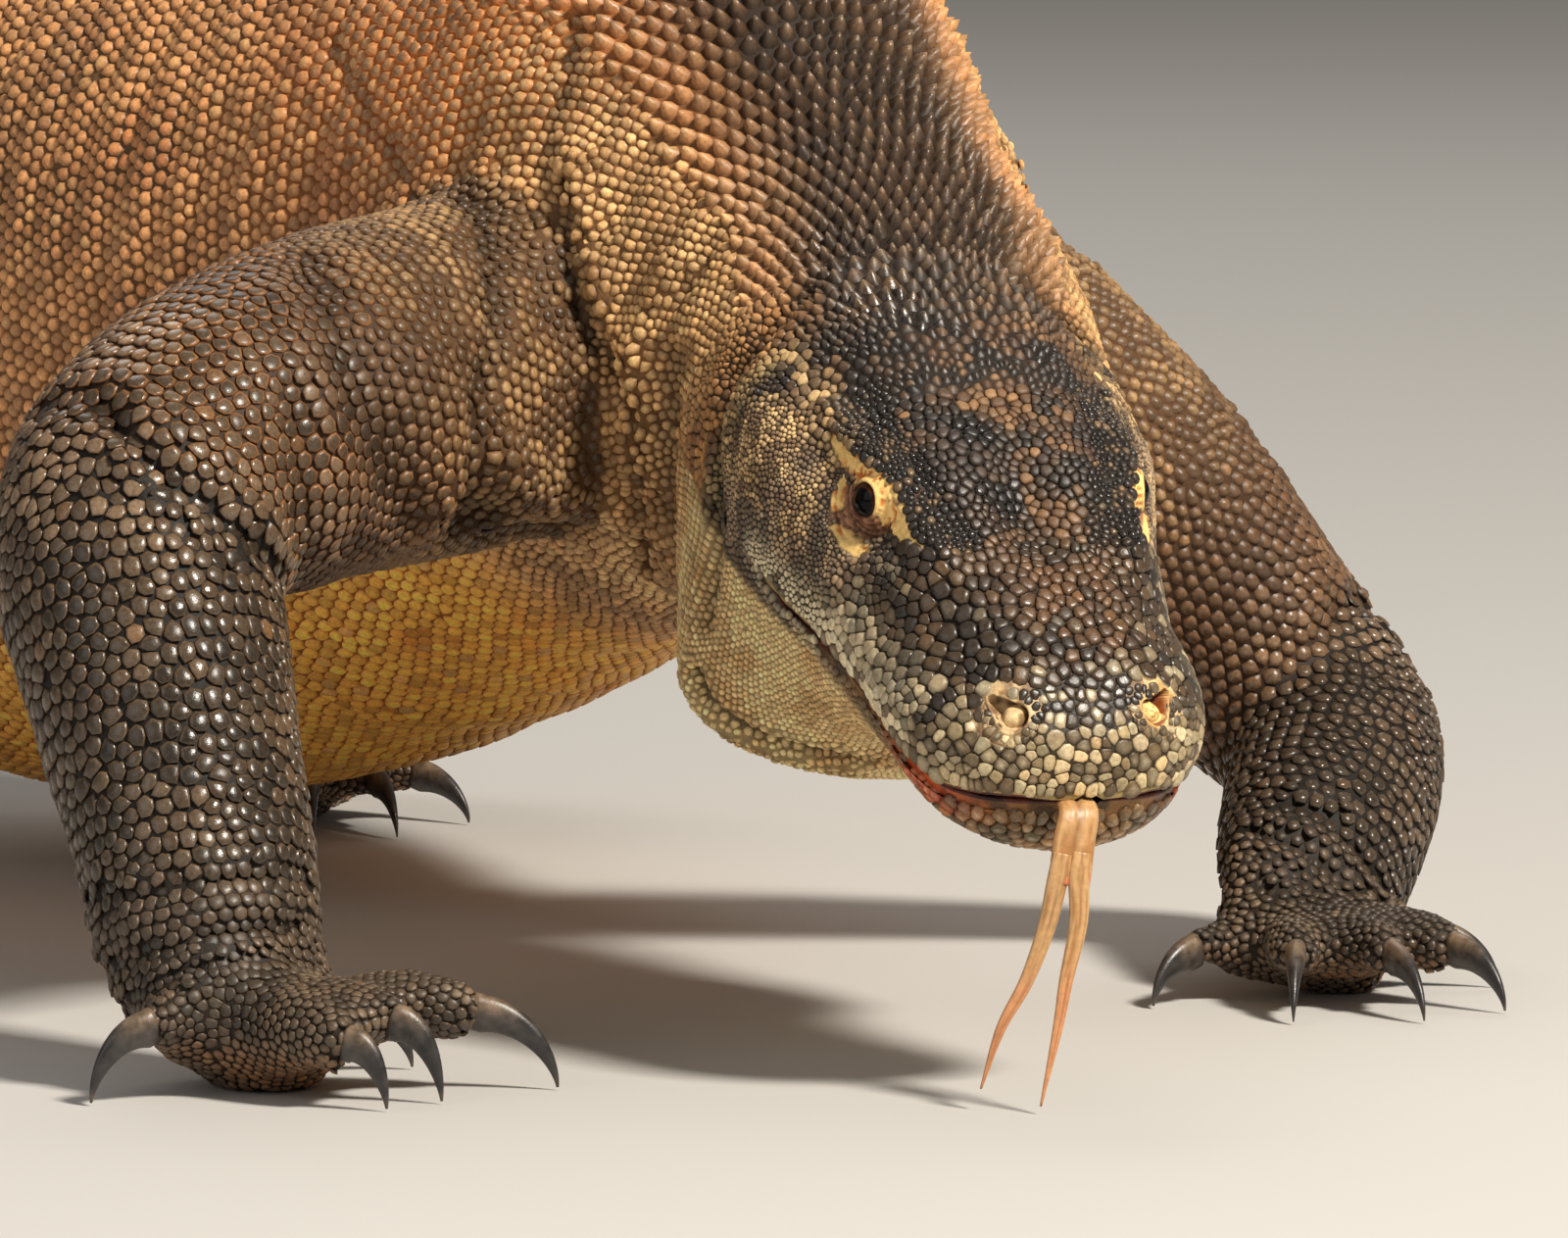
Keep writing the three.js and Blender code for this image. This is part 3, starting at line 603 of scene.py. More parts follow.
def base_skin():
    verts, quads, tris, at = [], [], [], 0

    def add(rings):
        nonlocal at
        v, q, c = ring_mesh(rings)
        verts.append(v)
        quads.append(q + at)
        tris.append(c + at)
        at += len(v)

    s = np.concatenate([np.arange(206, 300, 4), np.arange(300, S_LAST, 6), [S_LAST]])
    f = np.linspace(0, 2 * np.pi, 121)[:-1]
    ss, ff = np.meshgrid(s, f, indexing="ij")
    sink = -7 * (1 - smooth(ss, 206, 228)) - coat_depth(ss, ff)
    sink = np.where(ss > 2200, sink * 0.7, sink)
    # the tail's end is too thin to give the whole depth away
    half = cubic(AXIS_S, AXIS, s)[:, 3]
    sink = np.maximum(sink, -0.3 * half[:, None])
    add(axial_point(ss, ff, sink.ravel()).reshape(len(s), len(f), 3))
    f = np.linspace(0, 2 * np.pi, 65)[:-1]
    for limb in LIMBS.values():
        k = np.arange(0, len(limb["rows"]) - 1 + 1e-6, 0.125)
        kk, ff = np.meshgrid(k, f, indexing="ij")
        add(limb_point(limb, kk, ff, -1.4).reshape(len(k), len(f), 3))
    f = np.linspace(0, 2 * np.pi, 33)[:-1]
    for key, digit, rows, c, ahead, end in TOES.values():
        k = np.arange(0, 2.951, 0.14)
        kk, ff = np.meshgrid(k, f, indexing="ij")
        rings = toe_point(rows, ahead, kk, ff, -1.1).reshape(len(k), len(f), 3)
        add(rings)
    return np.concatenate(verts), np.concatenate(quads), np.concatenate(tris)


v, q, t = base_skin()
TIP_FROM = 2235.0
rough = make_mesh("rough", v, q, t)
rough.data.update()
mod = rough.modifiers.new("r", "REMESH")
mod.mode = "VOXEL"
mod.voxel_size = 0.0060
mod.use_smooth_shade = True
made = bpy.data.meshes.new_from_object(rough.evaluated_get(bpy.context.evaluated_depsgraph_get()))
bpy.data.objects.remove(rough)
co, total, idx = mesh_arrays(made)
body_quads = idx.reshape(-1, 4)
bpy.data.meshes.remove(made)
body_co = co


def edges_of(quads):
    e = np.concatenate([quads[:, [0, 1]], quads[:, [1, 2]], quads[:, [2, 3]], quads[:, [3, 0]]])
    e.sort(axis=1)
    return np.unique(e, axis=0)


def relax(co, edges, weight, rounds):
    n = len(co)
    deg = np.maximum(np.bincount(edges.ravel(), minlength=n), 1)[:, None]
    for _ in range(rounds):
        acc = np.zeros_like(co)
        np.add.at(acc, edges[:, 0], co[edges[:, 1]])
        np.add.at(acc, edges[:, 1], co[edges[:, 0]])
        co = co + (acc / deg - co) * weight[:, None]
    return co


# Reference points with their place on the lofts, to tell any point of the skin where it is.
ref_p, ref_tube, ref_s, ref_f = [], [], [], []


def refer(points, tube, s, f):
    ref_p.append(points)
    ref_tube.append(np.full(len(points), tube))
    ref_s.append(np.asarray(s, float).ravel())
    ref_f.append(np.asarray(f, float).ravel())


TUBE_NAMES = ["axial"] + list(LIMBS) + list(TOES)
ss, ff = np.meshgrid(np.arange(1, S_LAST, 7), np.linspace(-np.pi, np.pi, 97)[:-1], indexing="ij")
refer(axial_point(ss, ff, -1.5), 0, ss, ff)
for n, limb in enumerate(LIMBS.values()):
    kk, ff = np.meshgrid(np.arange(0, len(limb["rows"]) - 0.999, 0.16), np.linspace(-np.pi, np.pi, 49)[:-1], indexing="ij")
    refer(limb_point(limb, kk, ff, -1.4), 1 + n, kk, ff)
for n, (key, digit, rows, c, ahead, end) in enumerate(TOES.values()):
    kk, ff = np.meshgrid(np.arange(0.6, 3.01, 0.15), np.linspace(-np.pi, np.pi, 17)[:-1], indexing="ij")
    refer(toe_point(rows, ahead, kk, ff, -1.1), 1 + len(LIMBS) + n, kk, ff)
ref_p, ref_tube, ref_s, ref_f = (np.concatenate(x) for x in (ref_p, ref_tube, ref_s, ref_f))
REF = tree_of(ref_p)


def place(points):
    """Tube number and loft coordinates of points on the skin."""
    i, _ = nearest(REF, points)
    return ref_tube[i], ref_s[i], ref_f[i]


body_edges = edges_of(body_quads)
body_co = relax(body_co, body_edges, np.full(len(body_co), 0.5), 2)
tube, bs, bf = place(body_co)
border = np.unique(body_edges[tube[body_edges[:, 0]] != tube[body_edges[:, 1]]])
_, away = nearest(tree_of(body_co[border]), body_co)
toe_like = tube > len(LIMBS)
body_co = relax(body_co, body_edges, np.exp(-((away / np.where(toe_like, 6.0, 15.0)) ** 2)) * 0.6, 14)
nrm = vertex_normals(body_co, body_quads)
lift = fold_lift(body_co)
# how deep each crease runs; the skin and the scales are painted darker there further on, as shade down in the folds
body_crease = np.clip(-lift / 3.5, 0, 1)
lift = lift + ridge_lift(body_co, BULGES)
# Slow swells of muscle and loose skin over the trunk, and fine wrinkles across the wrists and ankles.
trunk = (tube == 0) & (bs > 330)
lift += np.where(trunk, (noise(body_co, (46, 26, 60), 3) - 0.5) * 3.2 * smooth(bs, 330, 420) * (1 - smooth(bs, 1300, 1700)), 0)
# shallow folds that run down the sides, broken and bent
around = np.degrees(np.abs((bf + np.pi) % (2 * np.pi) - np.pi))
loose = np.where(tube == 0, smooth(bs, 400, 520) * (1 - smooth(bs, 1150, 1400)) * bump(around, 36, 118, 22), 0)
lift += loose * np.sin(body_co[:, 1] * 2 * np.pi / 21 + 9 * noise(body_co, (60, 60, 90), 7)) * (0.4 + 1.5 * noise(body_co, 55, 8))
slack = np.where(tube == 0, bump(bs, 285, 400, 30) * bump(around, 60, 130, 20), 0)
lift += slack * np.sin(bs * 2 * np.pi / 26 + 5 * noise(body_co, 50, 9)) * 1.6
lift += (noise(body_co, 15, 4) - 0.5) * 1.1 * (1 - smooth(bs, 1700, 2100) * (tube == 0))
for n, key in enumerate(LIMBS):
    on = tube == 1 + n
    last = len(LIMBS[key]["rows"]) - 1
    span = last / 12.0
    wr = bump(bs, 8.3 * span, 11.2 * span, 0.8) * on
    lift += wr * np.sin(bs / span * 2 * np.pi / 0.42 + 3 * noise(body_co, 22, 6)) * 0.7
body_co = body_co + nrm * lift[:, None]
# a tag of skin hangs from the fold in front of the right arm
tag = on_limb("fore_right", (1.55, -62))[0]
near_tag = np.linalg.norm(body_co - tag, axis=1)
body_co = body_co + np.array([0.1, -0.25, -1.0]) * (19 * np.exp(-((near_tag / 8.0) ** 2)))[:, None]
# Nothing goes below the floor.
body_co[:, 2] = np.maximum(body_co[:, 2], 0.9)
# the thin end of the tail is a fine tube of its own, slipped over the thicker part
ts = np.concatenate([np.linspace(TIP_FROM, S_LAST, 60)])
tf = np.linspace(0, 2 * np.pi, 33)[:-1]
ss, ff = np.meshgrid(ts, tf, indexing="ij")
half = cubic(AXIS_S, AXIS, ts)[:, 3]
tip, tip_quads, _ = ring_mesh(axial_point(ss, ff, (-np.minimum(0.3 * half, 0.9)[:, None] * np.ones_like(ff)).ravel()).reshape(len(ts), len(tf), 3))
body_quads = np.concatenate([body_quads, tip_quads + len(body_co)])
body_co = np.concatenate([body_co, tip])
body_crease = np.concatenate([body_crease, np.zeros(len(tip))])
print("body skin", len(body_co), len(body_quads))


# ------------------------------------------------------------------ skin of the head and lower jaw
HEAD_STOP = 238.0
LIP_R, JAW_R = 1.7, 1.3  # rounding of the lips


def even_rings():
    """Places along the head so that no two rings are more than about 1.75 mm apart anywhere."""
    s = np.concatenate([np.linspace(0, 6, 61)[:-1], np.linspace(6, 30, 61)[:-1], np.linspace(30, HEAD_STOP, 140)])
    step = np.zeros(len(s) - 1)
    for f in (0, 50, 90, 130, 180):
        step = np.maximum(step, np.linalg.norm(np.diff(axial_point(s, math.radians(f)), axis=0), axis=1))
    run = np.concatenate([[0], np.cumsum(step)])
    return np.interp(np.linspace(0, run[-1], int(run[-1] / 1.75)), run, s)


HEAD_S = even_rings()


def mouth_open(s):
    return 1 - smooth(s, 118, MOUTH_CORNER)


def lip_param(s, h):
    """Section parameter on the left side where the bare section reaches height h at or below the mouth line."""
    row = cubic(AXIS_S, AXIS, s)
    q = np.clip(-h / row[:, 5], -0.98, 0.98)
    up = np.clip(h / row[:, 4], -0.98, 0.98)
    return np.where(h <= 0, np.arccos(-np.sign(q) * np.abs(q) ** (row[:, 7] / 2)), np.arccos(np.abs(up) ** (row[:, 6] / 2)))


def head_surface(s, f, grow=0.0):
    """Head surface with the fine relief but without lids and nostrils."""
    s, f = (np.asarray(x, float).ravel() for x in np.broadcast_arrays(s, f))
    base = -coat_depth(s, f) * smooth(s, 0, 6) * 0.75 - 0.3 - 6.5 * smooth(s, 222, 237)
    return axial_point(s, f, base + grow)


def lip_rows(lower):
    """Even points from lip to lip over the top of the head, or under the jaw, for every ring."""
    row = cubic(AXIS_S, AXIS, HEAD_S)
    lh = lip_height(HEAD_S)
    gap = mouth_open(HEAD_S)
    small = smooth(HEAD_S, 0, 3.5)
    if lower:
        edge = lh - (1.1 + JAW_R) * gap * (0.35 + 0.65 * small)
        lo = lip_param(HEAD_S, edge)
        hi = 2 * np.pi - lo
        count = 110
    else:
        edge = lh + (0.5 + LIP_R) * gap * (0.35 + 0.65 * small)
        hi = lip_param(HEAD_S, edge)
        lo = -hi
        count = 176
    out = np.empty((len(HEAD_S), count))
    u = np.linspace(0, 1, 361)
    for i, s in enumerate(HEAD_S):
        f = lo[i] + (hi[i] - lo[i]) * u
        p = axial_point(np.full(len(f), s), f)
        run = np.concatenate([[0], np.cumsum(np.linalg.norm(np.diff(p, axis=0), axis=1))])
        out[i] = np.interp(np.linspace(0, run[-1], count), run, f)
    return out


def grid_quads(n, m, at=0):
    r, c = np.meshgrid(np.arange(n - 1), np.arange(m - 1), indexing="ij")
    a = (r * m + c).ravel() + at
    return np.stack([a, a + 1, a + 1 + m, a + m], 1)


def grid_normals(p):
    du = np.gradient(p, axis=0)
    dv = np.gradient(p, axis=1)
    return unit(np.cross(dv, du))


def head_grid(lower):
    f = lip_rows(lower)
    s = np.broadcast_to(HEAD_S[:, None], f.shape)
    inset = 0.0
    if lower:
        p0 = axial_point(s, f).reshape(*f.shape, 3)
        _, _, h = head_coords(p0.reshape(-1, 3))
        below = lip_height(s.ravel()) - h
        inset = -2.6 * np.exp(-((np.maximum(below, 0) / 9.0) ** 2)) * (1 - smooth(s.ravel(), 85, 132)) * smooth(s.ravel(), -1, 2)
    p = head_surface(s, f, inset).reshape(*f.shape, 3)
    n = grid_normals(p)
    centre = axial_frame(HEAD_S)[0][:, None, :3]
    if ((p - centre) * n).sum(-1).mean() < 0:
        n = -n
    flat, fn = p.reshape(-1, 3), n.reshape(-1, 3)
    lift = fold_lift(flat)
    # how deep each crease runs; the skin and the scales are painted darker there further on, as shade down in the folds
    crease = np.clip(-lift / 3.5, 0, 1)
    lift = lift + ridge_lift(flat, RIDGES)
    lift += (noise(flat, 9, 11) - 0.5) * 0.7
    # a furrow runs on behind the corner of the mouth
    a, l, h = head_coords(flat)
    lift += -1.6 * np.exp(-(((h - lip_height(a)) / 2.2) ** 2)) * bump(a, 136, 158, 8)
    flat = flat + fn * (lift * smooth(s.ravel(), 1.0, 10))[:, None]
    p = flat.reshape(p.shape)
    n = grid_normals(p)
    if ((p - centre) * n).sum(-1).mean() < 0:
        n = -n
    return crease, f, p, n


def lip_rolls(p, n, lower):
    """Rounded lips that turn into the mouth, as strips beside each edge of the grid."""
    keep = HEAD_S < MOUTH_CORNER + 6
    strips = []
    r = JAW_R if lower else LIP_R
    for col in (0, -1):
        b, nn = p[keep, col], n[keep, col]
        out = unit(nn - HU * (nn @ HU)[:, None])
        down = (HU if lower else -HU) * np.ones_like(b)
        k = (mouth_open(HEAD_S[keep]) * 0.94 + 0.06)[:, None] * (0.35 + 0.65 * smooth(HEAD_S[keep], 0, 3.5))[:, None]
        rows = [b]
        for t in (25, 50, 75, 90):
            t = math.radians(t)
            rows.append(b - out * (r * (1 - math.cos(t))) * k + down * (r * math.sin(t)) * k)
        last = rows[-1]
        # the inside of the lips leans back into the mouth
        reach = np.minimum(9.0, 0.75 * np.abs(head_coords(b)[1]) + 1.5)[:, None]
        rows.append(last - out * reach * 0.35 * k - down * 0.2 * k)
        rows.append(last - out * reach * k - down * 1.6 * k)
        strips.append(np.stack(rows, 1))
    return strips


head_parts = []  # verts, quads, tris, kind: 0 upper, 1 lower, 2 mouth lining, 3 lids, 4 nostrils
UP_C, UP_F, UP_P, UP_N = head_grid(False)
LO_C, LO_F, LO_P, LO_N = head_grid(True)


def patch_frame(a, l, h, nd, nl, nu):
    """Frame of a round patch on the head: centre, outward axis, forward and upward directions."""
    c = head_point(a, l, h)
    axis = unit(HD * nd + HL * nl + HU * nu)
    e1 = unit(HD - axis * (HD @ axis))
    e2 = np.cross(axis, e1) * (1 if (np.cross(axis, e1) @ HU) > 0 else -1)
    return c, axis, e1, e2


def head_bvh():
    q = grid_quads(*UP_P.shape[:2])
    return BVHTree.FromPolygons([tuple(x) for x in UP_P.reshape(-1, 3).tolist()], q.tolist())


BARE = head_bvh()


def drop_on(bvh, c, axis, e1, e2, x, y, far=30.0):
    """Height along the axis of the surface under each point (x, y) of a patch."""
    out = np.empty(len(x))
    last = 0.0
    for i in range(len(x)):
        o = c + e1 * x[i] + e2 * y[i] + axis * far
        hit = bvh.ray_cast(Vector(o), Vector(-axis), 2 * far)
        if hit[0] is not None:
            last = far - hit[3]
        out[i] = last
    return out


EYES = {}
LID_HIGH = []  # wrinkle height of every lid vertex, which also paints highlight on the wrinkles' ridges and shade in their furrows into its colour
for side in (-1, 1):
    name = "eye_right" if side < 0 else "eye_left"
    ball = head_point(EYE_A, side * EYE_L, EYE_H)
    axis = unit(HD * 0.27 + HL * side * 0.93 + HU * 0.10)
    e1 = unit(HD - axis * (HD @ axis))
    e2 = unit(np.cross(axis, e1))
    e2 = e2 if e2 @ HU > 0 else -e2
    EYES[name] = (ball, axis, e1, e2)
    segs, rings = 128, 34
    phi = np.linspace(0, 2 * np.pi, segs + 1)[:-1]
    # Almond opening, a little behind and above the middle of the ball, its front corner lower.
    ex = np.where(np.cos(phi) > 0, 6.7, 6.9)
    ey = np.where(np.sin(phi) > 0, 6.3, 6.0)
    ox = ex * np.sign(np.cos(phi)) * np.abs(np.cos(phi)) ** 1.12
    oy = ey * np.sign(np.sin(phi)) * np.abs(np.sin(phi)) ** 1.05
    tilt = math.radians(-17)
    ox, oy = ox * math.cos(tilt) - oy * math.sin(tilt), ox * math.sin(tilt) + oy * math.cos(tilt)
    rim = np.hypot(ox, oy)
    ang = np.arctan2(oy, ox)
    cx, cy = -0.2, 0.9
    u = np.linspace(0, 1, rings)
    # rays run from the opening to a circle round the ball
    dot = cx * np.cos(ang) + cy * np.sin(ang)
    outer = -dot + np.sqrt(dot**2 + 20.0**2 - cx * cx - cy * cy)
    rr = rim[:, None] + (outer - rim)[:, None] * u[None, :] ** 1.25
    x, y = (cx + rr * np.cos(ang)[:, None]).ravel(), (cy + rr * np.sin(ang)[:, None]).ravel()
    rho = np.hypot(x, y)
    z0 = drop_on(BARE, ball, axis, e1, e2, x, y)
    rb = EYE_R + 0.85
    zs = np.where(rho < rb * 0.985, np.sqrt(np.maximum(rb * rb - rho * rho, 0)), 0)
    zs = np.where(rho > rb * 0.80, rb * 0.60 - (rho - rb * 0.80) * 0.9, zs)
    high = smooth(y, 1.0, 5.0)
    w = smooth(rho, 8.5, 15.5) * (1 - high) + smooth(rho, 7.5, 12.5) * high
    z = zs * (1 - w) + (z0 + 0.05) * w
    near = 1 - smooth(rho, 13, 19)
    gap = (rr - rim[:, None]).ravel()
    # a pouch under the eye with folds round it, and fine wrinkles that cross the upper lid
    P = ball + e1 * x[:, None] + e2 * y[:, None] + axis * z[:, None]
    warp = 3.0 * noise(P, 6.0, 13) + 1.0 * np.sin(2 * np.repeat(ang, rings))
    low = 1 - smooth(y, -1.0, 3.0)
    z = near * (0.10 + 0.30 * low) * np.sin(gap * 2 * np.pi / 1.9 + warp) * smooth(gap, 0.9, 2.4)
    z += 0.30 * np.exp(-(((gap - 0.55) / 0.5) ** 2))
    z += near * (noise(P, 1.3, 12) - 0.5) * 1.7 * smooth(gap, 0.5, 1.6)
    z += near * 1.0 * (noise(P, 3.0, 14) - 0.5) * smooth(gap, 0.5, 2.0)
    LID_HIGH.append(np.concatenate([np.zeros((segs, 3)), z.reshape(segs, rings)], 1).ravel())
    P += axis * z[:, None]
    P = P.reshape(segs, rings, 3)
    # the rim of each lid is rounded and turns in to touch the eye
    edge = P[:, 0]
    inwards = -(e1 * np.cos(ang)[:, None] + e2 * np.sin(ang)[:, None])
    lid = [edge + inwards * 0.40 - axis * 0.25, edge + inwards * 0.60 - axis * 0.8, edge + inwards * 0.05 - axis * 2.2]
    P = np.concatenate([np.stack(lid[::-1], 1), P], 1)
    m = P.shape[1]
    r, c = np.meshgrid(np.arange(segs), np.arange(m - 1), indexing="ij")
    a = r * m + c
    b = ((r + 1) % segs) * m + c
    quads = np.stack([a, b, b + 1, a + 1], -1).reshape(-1, 4)
    nn = np.cross(P[1, 10] - P[0, 10], P[0, 11] - P[0, 10])
    if nn @ axis < 0:
        quads = quads[:, ::-1]
    head_parts.append((P.reshape(-1, 3), quads, 3))
    # the grid of the head gives way under the patch
    for grid, gn in ((UP_P, UP_N),):
        q = grid.reshape(-1, 3) - ball
        gx, gy, gz = q @ e1, q @ e2, q @ axis
        rad = np.hypot(gx, gy)
        inside = (1 - smooth(rad, 15.0, 18.5)) * (gz > -6)
        grid -= (gn.reshape(-1, 3) * (inside * 6.5)[:, None]).reshape(grid.shape)

def nostril_ring(x, y):
    """1 on the rim of the opening, less inside; x runs forward and y up. Narrow behind, wide in front."""
    t = np.clip(((x + 6.2) * 9.2 + (y + 0.4) * 1.5) / (9.2**2 + 1.5**2), 0, 1)
    return np.hypot(x + 6.2 - 9.2 * t, y + 0.4 - 1.5 * t) / (1.8 + 3.3 * t)


def nostril_plug(x, y):
    """Height of the rounded pad that fills the front of the opening."""
    return np.sqrt(np.clip(1 - ((x - 2.8) ** 2 + (y - 0.7) ** 2) / 4.3**2, 0, 1))


for side in (-1, 1):
    c, axis, e1, e2 = patch_frame(20.5, side * 27.5, 22.0, 0.62, side * 0.62, 0.46)
    hit = BARE.ray_cast(Vector(c + axis * 30), Vector(-axis), 60)
    c = np.array(hit[0])
    segs, rings = 84, 36
    phi = np.linspace(0, 2 * np.pi, segs + 1)[:-1]
    u = np.linspace(0.015, 1, rings)
    R = 12.4
    x = (R * u[None, :] * np.cos(phi)[:, None]).ravel()
    y = (R * u[None, :] * np.sin(phi)[:, None]).ravel()
    z = drop_on(BARE, c, axis, e1, e2, x, y)
    P = c + e1 * x[:, None] + e2 * y[:, None]
    q = nostril_ring(x, y)
    pit = 1 - smooth(q, 0.72, 1.0)
    fade = 1 - smooth(np.hypot(x, y) / R, 0.80, 0.98)
    below = 1 - smooth(y, -4.0, -1.0)
    z = z - pit * 5.4 + 5.6 * nostril_plug(x, y)
    z += fade * (0.5 * np.exp(-(((q - 1.12) / 0.14) ** 2)) + 1.3 * np.exp(-((np.hypot(x + 7.4, y - 3.8) / 3.0) ** 2)) + 0.9 * np.exp(-((np.hypot(x + 10.0, y + 1.2) / 2.2) ** 2)))
    z += fade * below * 0.22 * np.sin((q - 1.1) * 9.0 + 2 * noise(P, 4, 15)) * smooth(q, 1.05, 1.3)
    z += fade * 0.7 * (noise(P, 1.6, 16) - 0.5) * smooth(q, 1.0, 1.15)
    z += -0.25 * smooth(np.hypot(x, y) / R, 0.94, 1.0)
    P = c + e1 * x[:, None] + e2 * y[:, None] + axis * z[:, None]
    P = P.reshape(segs, rings, 3)
    r, k = np.meshgrid(np.arange(segs), np.arange(rings - 1), indexing="ij")
    a = r * rings + k
    b = ((r + 1) % segs) * rings + k
    quads = np.stack([a, b, b + 1, a + 1], -1).reshape(-1, 4)
    mid = len(P.reshape(-1, 3))
    flat = np.concatenate([P.reshape(-1, 3), P[:, 0].mean(0)[None]])
    tris = np.stack([np.full(segs, mid), ((np.arange(segs) + 1) % segs) * rings, np.arange(segs) * rings], 1)
    nn = np.cross(P[1, 10] - P[0, 10], P[0, 11] - P[0, 10])
    if nn @ axis < 0:
        quads, tris = quads[:, ::-1], tris[:, ::-1]
    head_parts.append((flat, quads, 4, tris))
    q = UP_P.reshape(-1, 3) - c
    rad = np.hypot(q @ e1, q @ e2)
    inside = (1 - smooth(rad, 9.2, 11.8)) * (np.abs(q @ axis) < 14)
    UP_P -= (UP_N.reshape(-1, 3) * (inside * 6.0)[:, None]).reshape(UP_P.shape)
    if side < 0:
        NOSTRILS = []
    NOSTRILS.append((c, axis, e1, e2))

crease_of = {}
for grid, nn, lower in ((UP_P, UP_N, 0), (LO_P, LO_N, 1)):
    crease_of[len(head_parts)] = LO_C if lower else UP_C
    quads = grid_quads(*grid.shape[:2])
    fn = np.cross(grid[40, 1] - grid[40, 0], grid[41, 0] - grid[40, 0])
    if fn @ nn[40, 0] < 0:
        quads = quads[:, ::-1]
    head_parts.append((grid.reshape(-1, 3), quads, lower))
    for j, strip in enumerate(lip_rolls(grid, nn, bool(lower))):
        quads = grid_quads(*strip.shape[:2])
        k = 30
        d = np.cross(strip[k, 1] - strip[k, 0], strip[k + 1, 0] - strip[k, 0])
        if d @ nn[k, 0 if j == 0 else -1] < 0:
            quads = quads[:, ::-1]
        head_parts.append((strip.reshape(-1, 3), quads, 2))

# Roof and floor of the mouth behind the lips, and a plug at the very front of the snout.
for grid, lower in ((UP_P, False), (LO_P, True)):
    front = grid[0]
    mid = front.mean(0)
    rings = np.stack([front, mid + (front - mid) * 0.55, mid + (front - mid) * 0.1])
    quads = grid_quads(*rings.shape[:2])
    if np.cross(rings[0, 1] - rings[0, 0], rings[1, 0] - rings[0, 0]) @ HD < 0:
        quads = quads[:, ::-1]
    head_parts.append((rings.reshape(-1, 3), quads, int(lower)))
for h_off in (3.4, -5.2):
    a = np.arange(4, 150, 3.0)
    wide = cubic(AXIS_S, AXIS, a)[:, 3] - 4.5
    rows = []
    for t in np.linspace(-1, 1, 17):
        rows.append(head_point(a, t * wide, lip_height(a) + h_off * (1 + 0.5 * (1 - t * t))))
    rows = np.stack(rows, 1)
    head_parts.append((rows.reshape(-1, 3), grid_quads(*rows.shape[:2]), 2))

verts, quads, tris, kinds, at = [], [], [], [], 0
for part in head_parts:
    vv, qq, kind = part[:3]
    verts.append(vv)
    quads.append(qq + at)
    if len(part) > 3:
        tris.append(part[3] + at)
    kinds.append(np.full(len(vv), kind))
    at += len(vv)
head_co = np.concatenate(verts)
head_quads = np.concatenate(quads)
head_tris = np.concatenate(tris)
head_kind = np.concatenate(kinds)
head_crease = np.concatenate([crease_of.get(i, np.zeros(len(part[0]))) for i, part in enumerate(head_parts)])
print("head skin", len(head_co), len(head_quads))


# ------------------------------------------------------------------ markings, shared by skin and scales
def rgb(r, g, b):
    c = np.array([r, g, b], float) / 255
    return np.where(c <= 0.04045, c / 12.92, ((c + 0.055) / 1.055) ** 2.4)


def mix(a, b, t):
    t = np.asarray(t, float)
    t = t[:, None] if t.ndim == 1 else t
    return a * (1 - t) + b * t


def hump(x, mid, half):
    return np.exp(-(((x - mid) / half) ** 2))


